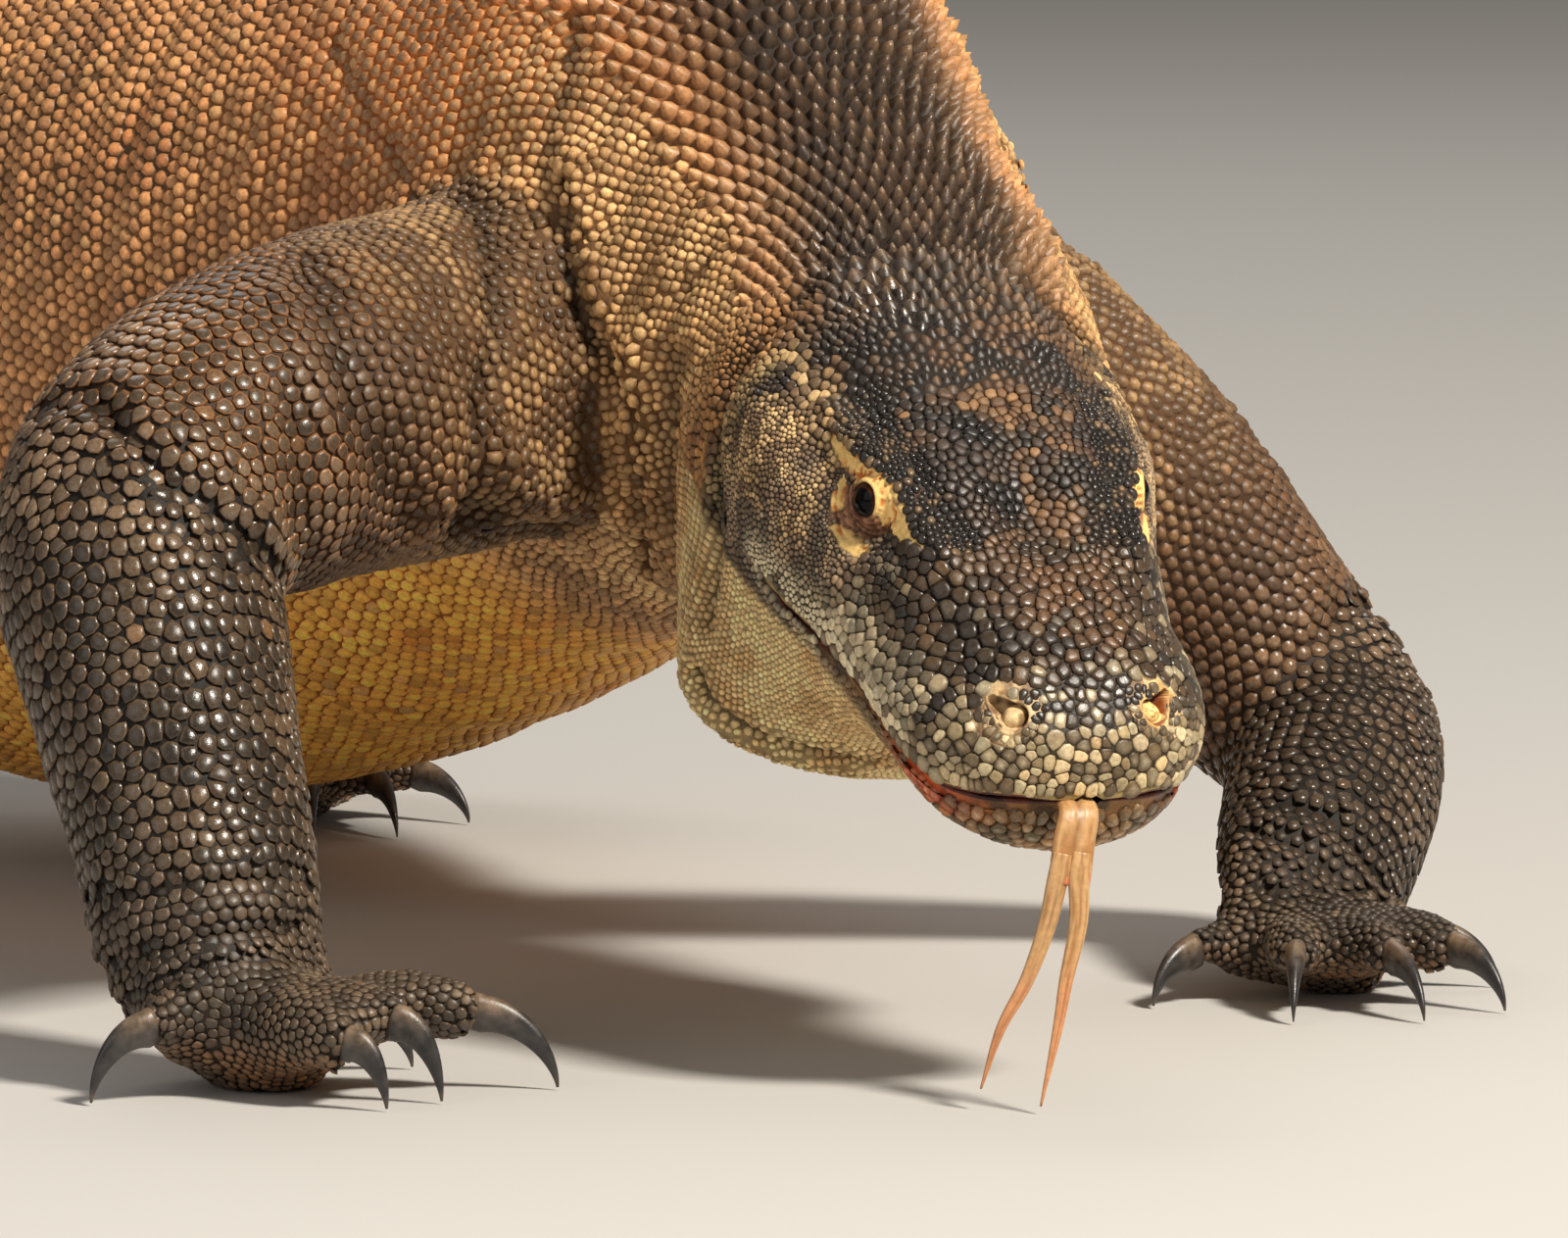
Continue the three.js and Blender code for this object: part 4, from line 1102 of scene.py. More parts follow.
def body_tint(p, tube, s, f):
    """Colours of the scales' tips, tops and borders and of the skin between them, and how glossy the tops are."""
    n = len(p)
    one = np.ones((n, 1))
    big, mid, fine = noise(p, 85, 21), noise(p, 30, 22), noise(p, 9, 23)
    deg = np.degrees(np.abs((f + np.pi) % (2 * np.pi) - np.pi))
    patch = smooth(mid * 0.6 + big * 0.4, 0.3, 0.7)
    top = mix(rgb(216, 154, 98), rgb(178, 132, 88), patch)
    rim = mix(rgb(184, 132, 84), rgb(154, 114, 76), patch)
    skin = mix(rgb(128, 90, 58), rgb(100, 74, 50), smooth(mid, 0.3, 0.7))
    # orange skin round darker scales over the shoulders
    shoulder = hump(s, 405, 95) * hump(deg, 60, 26) * smooth(big, 0.2, 0.5)
    top = mix(top, mix(rgb(112, 90, 68), rgb(170, 118, 74), smooth(fine, 0.4, 0.8)), shoulder * 0.85)
    rim = mix(rim, rgb(222, 138, 68), shoulder * 0.9)
    skin = mix(skin, rgb(206, 120, 54), shoulder * 0.9)
    warm = hump(s, 520, 110) * hump(deg, 74, 30) * smooth(mid, 0.35, 0.7)
    top = mix(top, rgb(206, 122, 66), warm * 0.6)
    rear = smooth(s, 760, 1150)
    top = mix(top, mix(rgb(136, 100, 70), rgb(98, 76, 58), patch), rear * 0.8)
    rim = mix(rim, rgb(104, 80, 60), rear * 0.8)
    skin = mix(skin, rgb(84, 64, 48), rear * 0.8)
    # dark back of the neck with paler tips, and a duller line along the back
    nape = (1 - smooth(deg, 20, 46)) * (1 - smooth(s, 420, 560))
    top = mix(top, mix(rgb(48, 38, 30), rgb(84, 64, 46), smooth(fine, 0.35, 0.75)), nape * 0.92)
    rim = mix(rim, rgb(30, 23, 17), nape * 0.92)
    skin = mix(skin, rgb(22, 16, 12), nape * 0.9)
    back = (1 - smooth(deg, 18, 60)) * smooth(s, 470, 620)
    top = mix(top, mix(rgb(108, 84, 62), rgb(72, 58, 46), smooth(mid, 0.3, 0.7)), back * 0.75)
    rim = mix(rim, rgb(74, 58, 44), back * 0.75)
    skin = mix(skin, rgb(58, 45, 34), back * 0.75)
    # beads of the neck's side and throat
    side = smooth(deg, 40, 60) * (1 - smooth(s, 330, 430))
    top = mix(top, mix(rgb(244, 196, 132), rgb(176, 136, 88), smooth(mid * 0.4 + fine * 0.6, 0.35, 0.7)), side * 0.92)
    rim = mix(rim, rgb(180, 138, 88), side * 0.8)
    skin = mix(skin, rgb(134, 96, 58), side * 0.8)
    throat = smooth(deg, 104, 136) * (1 - smooth(s, 380, 470))
    top = mix(top, mix(rgb(246, 200, 142), rgb(190, 148, 100), smooth(mid, 0.35, 0.7)), throat * 0.85)
    # orange-yellow belly with dark clouds
    belly = smooth(deg, 110, 144) * smooth(s, 400, 480) * (1 - smooth(s, 1080, 1220))
    top = mix(top, mix(rgb(255, 190, 76), rgb(220, 142, 50), smooth(mid * 0.5 + fine * 0.5, 0.5, 0.8)), belly * 0.95)
    rim = mix(rim, rgb(232, 150, 54), belly * 0.8)
    skin = mix(skin, rgb(160, 98, 36), belly * 0.8)
    tail = smooth(s, 1120, 1350)
    bands = 0.5 + 0.5 * np.sin(s / 21.0 + 3 * big)
    top = mix(top, mix(rgb(122, 92, 64), rgb(66, 54, 46), smooth(bands * 0.5 + mid * 0.6, 0.3, 0.8)), tail * 0.9)
    rim = mix(rim, mix(rgb(84, 64, 46), rgb(46, 38, 32), smooth(bands * 0.5 + mid * 0.6, 0.3, 0.8)), tail * 0.9)
    skin = mix(skin, rgb(52, 42, 34), tail * 0.9)
    under = smooth(deg, 120, 150) * tail
    top = mix(top, rgb(140, 108, 74), under * 0.6)
    tip = top * 1.08
    tip = mix(tip, mix(rgb(150, 124, 98), rgb(96, 76, 58), smooth(noise(p, 5, 26), 0.3, 0.75)), nape * 0.8)
    gloss = 0.32 + 0.12 * mid + 0.25 * shoulder + 0.2 * nape
    # limbs
    for i, key in enumerate(list(LIMBS)):
        limb = LIMBS[key]
        last = len(limb["rows"]) - 1
        k = s / last * 12.0
        on = (tube == 1 + i).astype(float)
        fore = key.startswith("fore")
        upper = mix(rgb(56, 43, 31), rgb(96, 72, 50), smooth(mid * 0.6 + fine * 0.4, 0.35, 0.7))
        chest = 1 - smooth(k, 1.6, 2.9)
        upper = mix(upper, mix(rgb(168, 132, 86), rgb(88, 66, 44), smooth(fine * 0.7 + mid * 0.3, 0.36, 0.66)), chest * 0.9)
        if not fore:
            upper = mix(upper, rgb(140, 100, 68), 0.4)
        low = mix(rgb(54, 46, 38), rgb(92, 75, 58), smooth(mid * 0.5 + fine * 0.5, 0.35, 0.75))
        hand = mix(rgb(104, 84, 64), rgb(66, 56, 46), smooth(mid * 0.5 + fine * 0.5, 0.35, 0.7))
        hand = mix(hand, rgb(156, 110, 68), (1 - smooth(p[:, 2], 5, 30)) * smooth(mid, 0.3, 0.6) * 0.8)
        leg = mix(upper, low, smooth(k, 3.6, 4.8))
        # painted light: the bend of each limb, round the elbow or the knee, is paler, as if lit
        leg = mix(leg, mix(rgb(104, 84, 64), rgb(150, 124, 98), smooth(fine * 0.6 + mid * 0.4, 0.35, 0.7)), bump(k, 3.5, 4.9, 0.7) * 0.55)
        leg = mix(leg, hand, smooth(k, 8.4, 10.5))
        pale = smooth(noise(p, 4, 24), 0.80, 0.92) * (1 - smooth(k, 6.0, 9.0)) * 0.35
        leg = mix(leg, rgb(176, 128, 84), pale)
        rim_up = mix(rgb(166, 112, 66), rgb(120, 84, 54), smooth(mid, 0.3, 0.7))
        rim_up = mix(rim_up, rgb(124, 94, 62), chest * 0.8)
        leg_rim = mix(rim_up, rgb(110, 86, 62), smooth(k, 3.8, 5.0))
        leg_rim = mix(leg_rim, rgb(104, 84, 64), smooth(k, 5.6, 7.6))
        leg_rim = mix(leg_rim, rgb(98, 78, 58), smooth(k, 8.6, 10.0))
        leg_skin = mix(mix(mix(rgb(62, 42, 26), rgb(92, 64, 40), chest), rgb(28, 22, 17), smooth(k, 3.6, 4.8)), rgb(38, 29, 21), smooth(k, 8.0, 10.0))
        top, rim, skin, tip = mix(top, leg, on), mix(rim, leg_rim, on), mix(skin, leg_skin, on), mix(tip, leg * 1.12, on)
        shine = 0.45 + 0.4 * bump(k, 3.6, 8.6, 0.8) + 0.2 * (fine - 0.5)
        gloss = gloss * (1 - on) + on * shine
    toe = (tube > len(LIMBS)).astype(float)
    digit = mix(rgb(104, 86, 66), rgb(62, 53, 45), smooth(mid * 0.5 + fine * 0.5, 0.3, 0.7))
    digit = mix(digit, rgb(164, 114, 70), (1 - smooth(p[:, 2], 4, 26)) * smooth(mid, 0.3, 0.6) * 0.8)
    top = mix(top, digit, toe)
    tip = mix(tip, top * 1.1, toe)
    rim = mix(rim, one * rgb(88, 70, 52), toe)
    skin = mix(skin, one * rgb(40, 31, 23), toe)
    return tip, top, rim, skin, np.clip(gloss, 0.1, 1)


# strips of pale bare skin above, behind and below the eye: a, h and half width
LID_LINES = [
    [(149, 48.6, 1.8), (139, 47.4, 4.0), (129, 48.2, 4.8), (118, 49.0, 4.8), (108, 45.6, 5.8), (100, 43.2, 4.6), (93, 43.4, 2.0), (87, 43.8, 0.9)],
    [(134.5, 41.0, 1.1), (131, 37.0, 1.4), (128.5, 33.0, 1.2)],
    [(123, 28.4, 1.1), (116, 26.8, 2.0), (107, 28.6, 2.8)],
]
BROW_A = [78, 90, 105, 121, 135, 150, 166]
BROW_L = [34, 38, 44, 49, 51, 52, 51]


def brow_band(a, al, h):
    return bump(al - np.interp(a, BROW_A, BROW_L), -15, 2, 4) * bump(a, 86, 160, 9) * smooth(h, 38, 46)


def lid_place(a, h):
    """Under 1 on the bare skin round the eye, by place along and up the side of the head."""
    return np.minimum(np.hypot((a - 119.0) / 12.4, (h - 38.6) / 10.4), pale_lid(a, h))


def pale_lid(a, h):
    """Under 1 on the pale strips."""
    out = np.full(len(a), 99.0)
    for pts in LID_LINES:
        for (a0, h0, w0), (a1, h1, w1) in zip(pts[:-1], pts[1:]):
            t = np.clip(((a - a0) * (a1 - a0) + (h - h0) * (h1 - h0)) / ((a1 - a0) ** 2 + (h1 - h0) ** 2), 0, 1)
            out = np.minimum(out, np.hypot(a - a0 - t * (a1 - a0), h - h0 - t * (h1 - h0)) / (w0 + (w1 - w0) * t))
    return out


def head_tint(p, kind):
    """The same for the head; kind tells the upper head from the jaw, the lining, the lids and the nostrils."""
    n = len(p)
    a, l, h = head_coords(p)
    al = np.abs(l)
    big, mid, fine, tiny = noise(p, 40, 31), noise(p, 14, 32), noise(p, 6, 33), noise(p, 2.6, 34)
    one = np.ones((n, 1))
    # charcoal snout, browner and dustier over the top of the head
    top = mix(rgb(54, 45, 37), rgb(90, 70, 49), smooth(fine, 0.4, 0.78))
    crown = smooth(h, 36, 54) * smooth(a, 62, 95)
    dust = smooth(mid * 0.5 + big * 0.3 + tiny * 0.2, 0.42, 0.62)
    top = mix(top, mix(rgb(44, 36, 29), mix(rgb(102, 70, 42), rgb(146, 108, 70), smooth(tiny, 0.5, 0.9)), dust), crown * 0.92)
    black = smooth(noise(p, 22, 35), 0.62, 0.74) * crown
    top = mix(top, rgb(34, 31, 30), black * 0.85)
    bridge = hump(a, 66, 34) * hump(l, 6, 20) * smooth(h, 20, 34)
    top = mix(top, rgb(116, 82, 54), bridge * smooth(mid * 0.6 + tiny * 0.4, 0.44, 0.64) * 0.85)
    brow = brow_band(a, al, h)
    top = mix(top, mix(rgb(42, 37, 33), rgb(120, 96, 70), smooth(tiny, 0.6, 0.85)), brow * 0.9)
    # cheek: slate with forward streaks, tan flecks over the temple
    cheek = bump(a, 110, 176, 14) * (1 - smooth(h, 34, 46)) * smooth(h, -18, -6)
    streak = noise(np.stack([a * 0.55 + h * 0.83, al, h * 0.55 - a * 0.83], 1), (16, 6, 3.2), 38)
    slate = mix(rgb(112, 94, 76), rgb(200, 166, 128), smooth(streak * 0.7 + tiny * 0.3, 0.42, 0.78))
    top = mix(top, slate, cheek * 0.95)
    temple = bump(a, 138, 196, 14) * bump(h, 18, 48, 12) * smooth(al, 40, 54)
    top = mix(top, mix(rgb(140, 110, 78), rgb(246, 204, 144), smooth(tiny * 0.6 + fine * 0.4, 0.48, 0.70)), temple * smooth(fine * 0.4 + mid * 0.6, 0.30, 0.62) * 0.9)
    # light scales along the border of the temple, orange-brown beads behind it
    edge = hump(a, 196 + 0.10 * h, 7) * smooth(al, 44, 60) * (h > -40)
    top = mix(top, rgb(204, 170, 112), edge * 0.75 * smooth(tiny, 0.1, 0.5))
    behind = smooth(a, 196, 212) * smooth(al, 30, 56)
    top = mix(top, mix(rgb(206, 148, 88), rgb(146, 100, 60), smooth(fine, 0.3, 0.7)), behind * 0.9)
    nape = smooth(a, 176, 200) * (1 - smooth(al, 28, 52)) * smooth(h, 30, 50)
    top = mix(top, mix(rgb(78, 64, 52), rgb(120, 92, 64), smooth(fine, 0.4, 0.8)), nape * 0.9)
    # cream and yellow-grey front of the snout and lips, with dark flecks
    lip = lip_height(a)
    own = np.random.default_rng(77).random(n)
    cream = mix(rgb(232, 208, 156), rgb(118, 98, 64), smooth(own, 0.05, 0.72))
    cream = mix(cream, cream * np.array([1.0, 0.84, 0.72]), smooth(np.random.default_rng(79).random(n), 0.5, 1.0))
    front = (1 - smooth(a, 16, 34)) * (1 - smooth(h + 8 * (fine - 0.5), 12, 22)) + (1 - smooth(h - lip, 11, 19)) * bump(a, 0, 118, 14)
    front = np.clip(front, 0, 1)
    fleck = smooth(noise(p, 7.5, 39), 0.56, 0.74)
    top = mix(top, mix(cream, one * rgb(84, 66, 44), np.clip(fleck * 0.6 + (own > 0.60 + 0.26 * smooth(a, 28, 50)) * 0.7, 0, 1) * 0.9), front * 0.92)
    speck = np.clip(smooth(noise(p, 4.2, 36), 0.70, 0.86) + (own < 0.04 + 0.20 * (1 - smooth(a, 20, 50))) * 0.8, 0, 1) * bump(a, 8, 150, 10) * (1 - smooth(h, 24, 40)) * 0.75
    top = mix(top, rgb(196, 176, 140), speck * (1 - crown))
    corner = bump(a, 46, 152, 10) * hump(h - lip, 6, 8 + 5 * bump(a, 40, 96, 20)) * smooth(al, 26, 38)
    top = mix(top, mix(rgb(255, 236, 196), rgb(104, 84, 62), smooth(fine * 0.4 + tiny * 0.6, 0.56, 0.70)), corner * 0.95)
    # throat and lower jaw
    low = smooth(-(h - lip), 6, 12)
    tan = mix(rgb(255, 222, 158), rgb(224, 180, 118), smooth(mid * 0.6 + tiny * 0.4, 0.35, 0.75))
    top = mix(top, tan, low * smooth(a, 60, 100))
    chin = low * (1 - smooth(a, 60, 100))
    top = mix(top, mix(rgb(158, 112, 62), rgb(84, 64, 40), smooth(fine, 0.35, 0.65)), chin * 0.95)
    jaw = (kind == 1) * (1 - smooth(-(h - lip), 9, 15)) * (1 - smooth(a, 92, 112))
    red = hump(a, 36, 20) * smooth(al, 20, 34)
    wet = mix(mix(rgb(128, 90, 48), rgb(74, 54, 32), smooth(fine, 0.4, 0.7)), mix(rgb(206, 84, 38), rgb(120, 60, 34), smooth(fine * 0.6 + tiny * 0.4, 0.42, 0.68)), np.clip(red * 1.2, 0, 1))
    top = mix(top, wet, jaw * 0.95)
    rim = mix(top * 0.55, top * 0.72, front)
    skin = mix(one * rgb(32, 25, 19), top * 0.5, 0.22)
    skin = mix(skin, one * rgb(52, 38, 22), front * 0.7)
    skin = mix(skin, tan * 0.45, low * smooth(a, 70, 110) * 0.8)
    # the smooth margin of the upper lip
    margin = (1 - smooth(h - lip, 2.2, 4.2)) * (kind == 0) * (1 - smooth(a, 138, 152))
    skin = mix(skin, mix(rgb(184, 158, 100), rgb(132, 108, 66), smooth(fine, 0.4, 0.8)), margin)
    skin = mix(skin, wet, jaw)
    # bare wrinkled lids, orange-cream, darker next to the eye; both the pale strips and the duller lid skin are lighter
    # on the wrinkles' ridges and darker in their furrows, as painted highlight and painted shade
    high = LID_Z if len(LID_Z) == n else np.zeros(n)
    lid_tone_and_wrinkle_light = mix(rgb(204, 118, 54), rgb(255, 212, 134), smooth(high + (tiny - 0.5) * 1.3 + (fine - 0.5) * 0.5, -0.62, 0.0))
    bare = mix(rgb(92, 60, 44), rgb(176, 128, 92), smooth(high + (tiny - 0.5) * 1.1, -0.35, 0.6))
    ragged = pale_lid(a, h) + (noise(p, 3.0, 41) - 0.5) * 1.1 + (noise(p, 1.2, 42) - 0.5) * 0.6
    lid_tone_and_wrinkle_light = mix(lid_tone_and_wrinkle_light, bare, smooth(ragged, 0.85, 1.15))
    d = lid_place(a, h)
    rough_d = d + (fine - 0.5) * 0.4
    lid = ((kind == 3) | (kind == 0)) * (al > 33) * (1 - smooth(rough_d, 0.85, 1.15))
    skin = mix(skin, lid_tone_and_wrinkle_light, lid)
    dark = (kind == 3) * (1 - smooth(np.hypot((a - 119.4) / 8.3, (h - 42.4) / 6.9), 0.92, 1.0)) * (1 - 0.5 * smooth(h, 44, 48))
    dark = np.maximum(dark, (kind == 3) * hump(h, 34.5, 2.2) * hump(a, 116, 8) * 0.5)
    skin = mix(skin, mix(rgb(66, 34, 26), rgb(120, 66, 50), smooth(tiny, 0.4, 0.7)), dark * 0.85)
    # lining of the mouth, and inside of the nostrils
    skin = mix(skin, mix(rgb(96, 52, 40), rgb(52, 30, 24), smooth(fine, 0.4, 0.7)), (kind == 2) * 1.0)
    for c, axis, e1, e2 in NOSTRILS:
        q = p - c
        x, y = q @ e1, q @ e2
        r = nostril_ring(x, y)
        around = (kind == 4) * smooth(r, 0.95, 1.08)
        flap = np.clip(np.exp(-((np.hypot(x + 7.4, y - 3.4) / 4.0) ** 2)) + np.exp(-((np.hypot(x + 10.0, y + 1.2) / 3.0) ** 2)) + 0.6 * np.exp(-(((r - 1.1) / 0.14) ** 2)), 0, 1)
        fleshy = mix(one * rgb(255, 206, 126), one * rgb(240, 220, 178), smooth(-x, 7, 11))
        skin = mix(skin, mix(one * rgb(128, 100, 72), one * rgb(214, 184, 140), smooth(tiny, 0.35, 0.65)), around * 0.85)
        skin = mix(skin, mix(fleshy, fleshy * 0.6, smooth(fine, 0.55, 0.75)), around * flap)
        inside = (1 - smooth(r, 0.92, 1.02)) * (kind == 4)
        # reddish-brown flesh inside the opening, painted darker towards the middle as shade down in the hole
        deep = mix(one * rgb(150, 74, 30), one * rgb(66, 26, 10), smooth(1 - r, 0.0, 0.45))
        dot = smooth(noise(p, 0.9, 43), 0.60, 0.72)
        ball = mix(one * rgb(255, 222, 146), one * rgb(186, 132, 70), dot * 0.9)
        skin = mix(skin, mix(deep, ball, smooth(nostril_plug(x, y), 0.30, 0.62)), inside)
    gloss = 0.46 + 0.22 * (1 - smooth(a, 70, 120)) - 0.20 * front + 0.35 * black + 0.35 * brow
    gloss = gloss * (1 - 0.5 * crown * dust) - 0.15 * low * smooth(a, 60, 100)
    gloss = np.where(jaw > 0.5, 0.95, gloss)
    other = np.random.default_rng(78).random(n)
    stain = np.clip(front + speck + corner, 0, 1)
    tip_of = mix(top * 1.06, mix(one * rgb(112, 90, 62), one * rgb(232, 214, 176), other), stain * 0.5)
    rim = mix(rim, mix(one * rgb(92, 74, 50), one * rgb(190, 166, 122), smooth(other, 0.3, 0.9)), stain * 0.4)
    tip = mix(tip_of, mix(rgb(168, 140, 108), rgb(112, 92, 72), smooth(tiny, 0.3, 0.7)), nape * 0.7)
    return tip, top, rim, skin, np.clip(gloss, 0.1, 1)


# ------------------------------------------------------------------ the whole skin as one piece
skin_co = np.concatenate([body_co, head_co])
skin_quads = np.concatenate([body_quads, head_quads + len(body_co)])
skin_tris = head_tris + len(body_co)
skin_kind = np.concatenate([np.full(len(body_co), -1), head_kind])
skin_ob = make_mesh("skin", skin_co, skin_quads, skin_tris)
skin_nrm = vertex_normals(skin_co, skin_quads, skin_tris)
tube, bs, bf = place(body_co)
_, _, _, c1, g1 = body_tint(body_co, tube, bs, bf)
LID_Z = np.zeros(len(head_co))
LID_Z[head_kind == 3] = np.concatenate(LID_HIGH)
_, _, _, c2, g2 = head_tint(head_co, head_kind)
ht, hs, hf = place(head_co)
seam = smooth(hs, 206, 228)[:, None]
LID_Z = np.zeros(0)
c2 = c2 * (1 - seam) + body_tint(head_co, np.zeros(len(head_co), int), hs, hf)[3] * seam
crease = np.concatenate([body_crease, head_crease])
# painted shade: the skin is darker down in the creases of the folds
skin_col = np.concatenate([c1, c2]) * (1 - 0.55 * crease)[:, None]
skin_gloss = np.concatenate([np.full(len(body_co), 0.25), np.where(head_kind == 2, 0.95, np.where(head_kind == 1, g2 * 0.9, g2 * 0.7))])


def paint(ob, colour, gloss):
    me = ob.data
    at = me.color_attributes.new("tint", "FLOAT_COLOR", "POINT")
    buf = np.ones((len(me.vertices), 4), np.float32)
    buf[:, :3] = np.clip(colour, 0, 1)
    at.data.foreach_set("color", buf.ravel())
    gl = me.attributes.new("gloss", "FLOAT", "POINT")
    gl.data.foreach_set("value", np.asarray(gloss, np.float32))


paint(skin_ob, skin_col, skin_gloss)
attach(skin_ob, "root")
FLESH = sorted(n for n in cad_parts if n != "tongue" and not n.startswith("eye_") and "claw" not in n)
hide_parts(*FLESH)


# ------------------------------------------------------------------ where the scales root
def bvh_of(keep_kind):
    """Search tree over part of the skin: 'body', 'upper' or 'jaw'."""
    if keep_kind == "body":
        ok = np.ones(len(skin_quads), bool)
        ok[len(body_quads):] = False
    else:
        k = skin_kind[skin_quads].max(1)
        lo = skin_kind[skin_quads].min(1)
        ok = ((k == 1) & (lo == 1)) if keep_kind == "jaw" else ((lo == k) & ((k == 0) | (k == 3) | (k == 4)))
    faces = skin_quads[ok]
    used, inv = np.unique(faces, return_inverse=True)
    co = skin_co[used]
    faces = inv.reshape(faces.shape)
    return BVHTree.FromPolygons(list(map(tuple, co.tolist())), faces.tolist()), faces, skin_nrm[used], co, skin_kind[used]


LAND = {k: bvh_of(k) for k in ("body", "upper", "jaw")}


def settle(land, points):
    """Nearest point of the skin to each point, with its smooth normal and its kind."""
    bvh, faces, nrm, co, kind = LAND[land]
    out, face = np.empty_like(points), np.empty(len(points), int)
    for i, p in enumerate(points.tolist()):
        q, _, j, _ = bvh.find_nearest(p)
        out[i], face[i] = q, j
    quad = faces[face]
    w = 1 / np.maximum(np.linalg.norm(co[quad] - out[:, None], axis=2), 0.05)
    n = unit((nrm[quad] * w[..., None]).sum(1))
    return out, n, kind[quad[:, 0]]


rng = np.random.default_rng(11)
roots = []  # dicts of arrays


def rows_of(point_at, s_list, f0, f1, pitch_c, jitter=0.10, min_n=4):
    """Rows of roots across a loft between two parameters, offset by half a scale from row to row."""
    S, Fq, n_now = [], [], None
    u = np.linspace(0, 1, 121)
    closed = abs((f1 - f0) - 2 * np.pi) < 1e-6
    for i, s in enumerate(s_list):
        f = f0 + (f1 - f0) * u
        p = point_at(np.full(len(f), s), f)
        run = np.concatenate([[0], np.cumsum(np.linalg.norm(np.diff(p, axis=0), axis=1))])
        want = run[-1] / pitch_c(s)
        if n_now is None or abs(want - n_now) > 0.045 * n_now + 0.5:
            n_now = max(min_n, int(round(want)))
        t = (np.arange(n_now) + 0.25 + 0.5 * (i % 2)) / n_now
        t = t + rng.normal(0, jitter / n_now, n_now)
        S.append(np.full(n_now, s))
        Fq.append(np.interp(t % 1.0 if closed else np.clip(t, 0, 1), run / run[-1], f))
    return np.concatenate(S), np.concatenate(Fq)


def stations(a, b, pitch, point_at=None, f=np.pi / 2):
    """Row places from a to b whose spacing in millimetres follows pitch(s)."""
    s = np.linspace(a, b, 800)
    if point_at is None:
        run = s - a
    else:
        # wide enough apart nowhere: the longest way round a bend sets the rows
        step = np.zeros(len(s) - 1)
        for q in np.linspace(-np.pi, np.pi, 9)[:-1]:
            step = np.maximum(step, np.linalg.norm(np.diff(point_at(s, np.full(len(s), q)), axis=0), axis=1))
        run = np.concatenate([[0], np.cumsum(step * 0.94)])
    dens = 1 / np.array([pitch(x) for x in s])
    cum = np.concatenate([[0], np.cumsum((dens[1:] + dens[:-1]) / 2 * np.diff(run))])
    return np.interp(np.arange(0.5, cum[-1]), cum, s)


def wavy(p, s):
    """Lets the rows wander a little."""
    return s + 7.0 * (noise(p, 70, 61) - 0.5) + 2.6 * (noise(p, 22, 62) - 0.5)


def add_roots(points, tube, s, f, size, lie, land, style):
    roots.append(dict(p=points, tube=np.full(len(points), tube), s=s, f=f, size=np.broadcast_to(size, (len(points),)).astype(float).copy(), lie=lie, land=np.full(len(points), land), style=np.full(len(points), style)))


def axial_rows(s0, s1, f0, f1, pitch_s, pitch_c, style, jitter=0.10):
    st = stations(s0, s1, pitch_s)
    full = abs((f1 - f0) - 360) < 1e-6
    s, f = rows_of(lambda a, b: axial_point(a, b), st, math.radians(f0), math.radians(f1), pitch_c, jitter)
    s = s + rng.normal(0, 0.07, len(s)) * np.array([pitch_s(x) for x in s])
    s = wavy(axial_point(s, f), s) if s0 > 400 else s
    s = np.clip(s, 200, S_LAST)
    f = (f + np.pi) % (2 * np.pi) - np.pi
    lie = axial_frame(s)[1]
    size = np.array([(pitch_s(x) + pitch_c(x)) / 2 for x in s])
    add_roots(axial_point(s, f, -coat_depth(s, f)), 0, s, f, size, lie, "body", style)


def table(*pairs):
    xs, ys = zip(*pairs)
    return lambda x: float(np.interp(x, xs, ys))


# styles: 0 bead, 1 cone, 2 plate, 3 belly, 4 tail, 5 toe, 6 small head grain, 7 head plate, 8 lid grain
axial_rows(216, 474, -50, 50, table((224, 5.4), (260, 6.2), (360, 6.4), (470, 5.8)), table((224, 5.6), (260, 6.8), (360, 7.2), (470, 6.4)), 1, 0.12)
for sg in (-1, 1):
    lo, hi = sorted((sg * 48, sg * 122))
    axial_rows(212, 430, lo, hi, table((222, 3.8), (300, 4.0), (430, 4.8)), table((222, 4.0), (300, 4.2), (430, 5.2)), 0)
axial_rows(214, 430, 120, 240, table((226, 4.2), (430, 5.0)), table((226, 4.4), (430, 5.4)), 0)
for sg in (-1, 1):
    lo, hi = sorted((sg * 45, sg * 124))
    axial_rows(428, 1124, lo, hi, table((432, 5.2), (700, 5.6), (1120, 6.6)), table((432, 5.5), (700, 5.9), (1120, 6.8)), 0)
axial_rows(466, 1124, -46.5, 46.5, table((472, 5.6), (1120, 6.6)), table((472, 6.0), (1120, 6.8)), 0)
axial_rows(428, 1124, 122, 238, table((432, 6.4), (1120, 7.0)), table((432, 6.0), (1120, 6.6)), 3)
axial_rows(1118, S_LAST - 1, -180, 180, table((1122, 7.0), (1600, 7.6), (2100, 7.0), (2450, 4.5)), table((1122, 6.6), (1600, 6.2), (2100, 4.6), (2450, 2.6)), 4)
LIMB_PITCH = {
    "fore_right": (table((0.9, 5.4), (2.2, 5.8), (3.2, 7.0), (4.6, 8.4), (7.8, 8.4), (8.7, 6.2), (9.4, 4.7), (10.5, 3.9), (12, 3.8)), table((0.9, 5.4), (2.2, 5.8), (3.2, 6.6), (4.6, 6.6), (8, 6.6), (9.2, 5.8), (10.5, 4.9), (12, 4.6))),
}
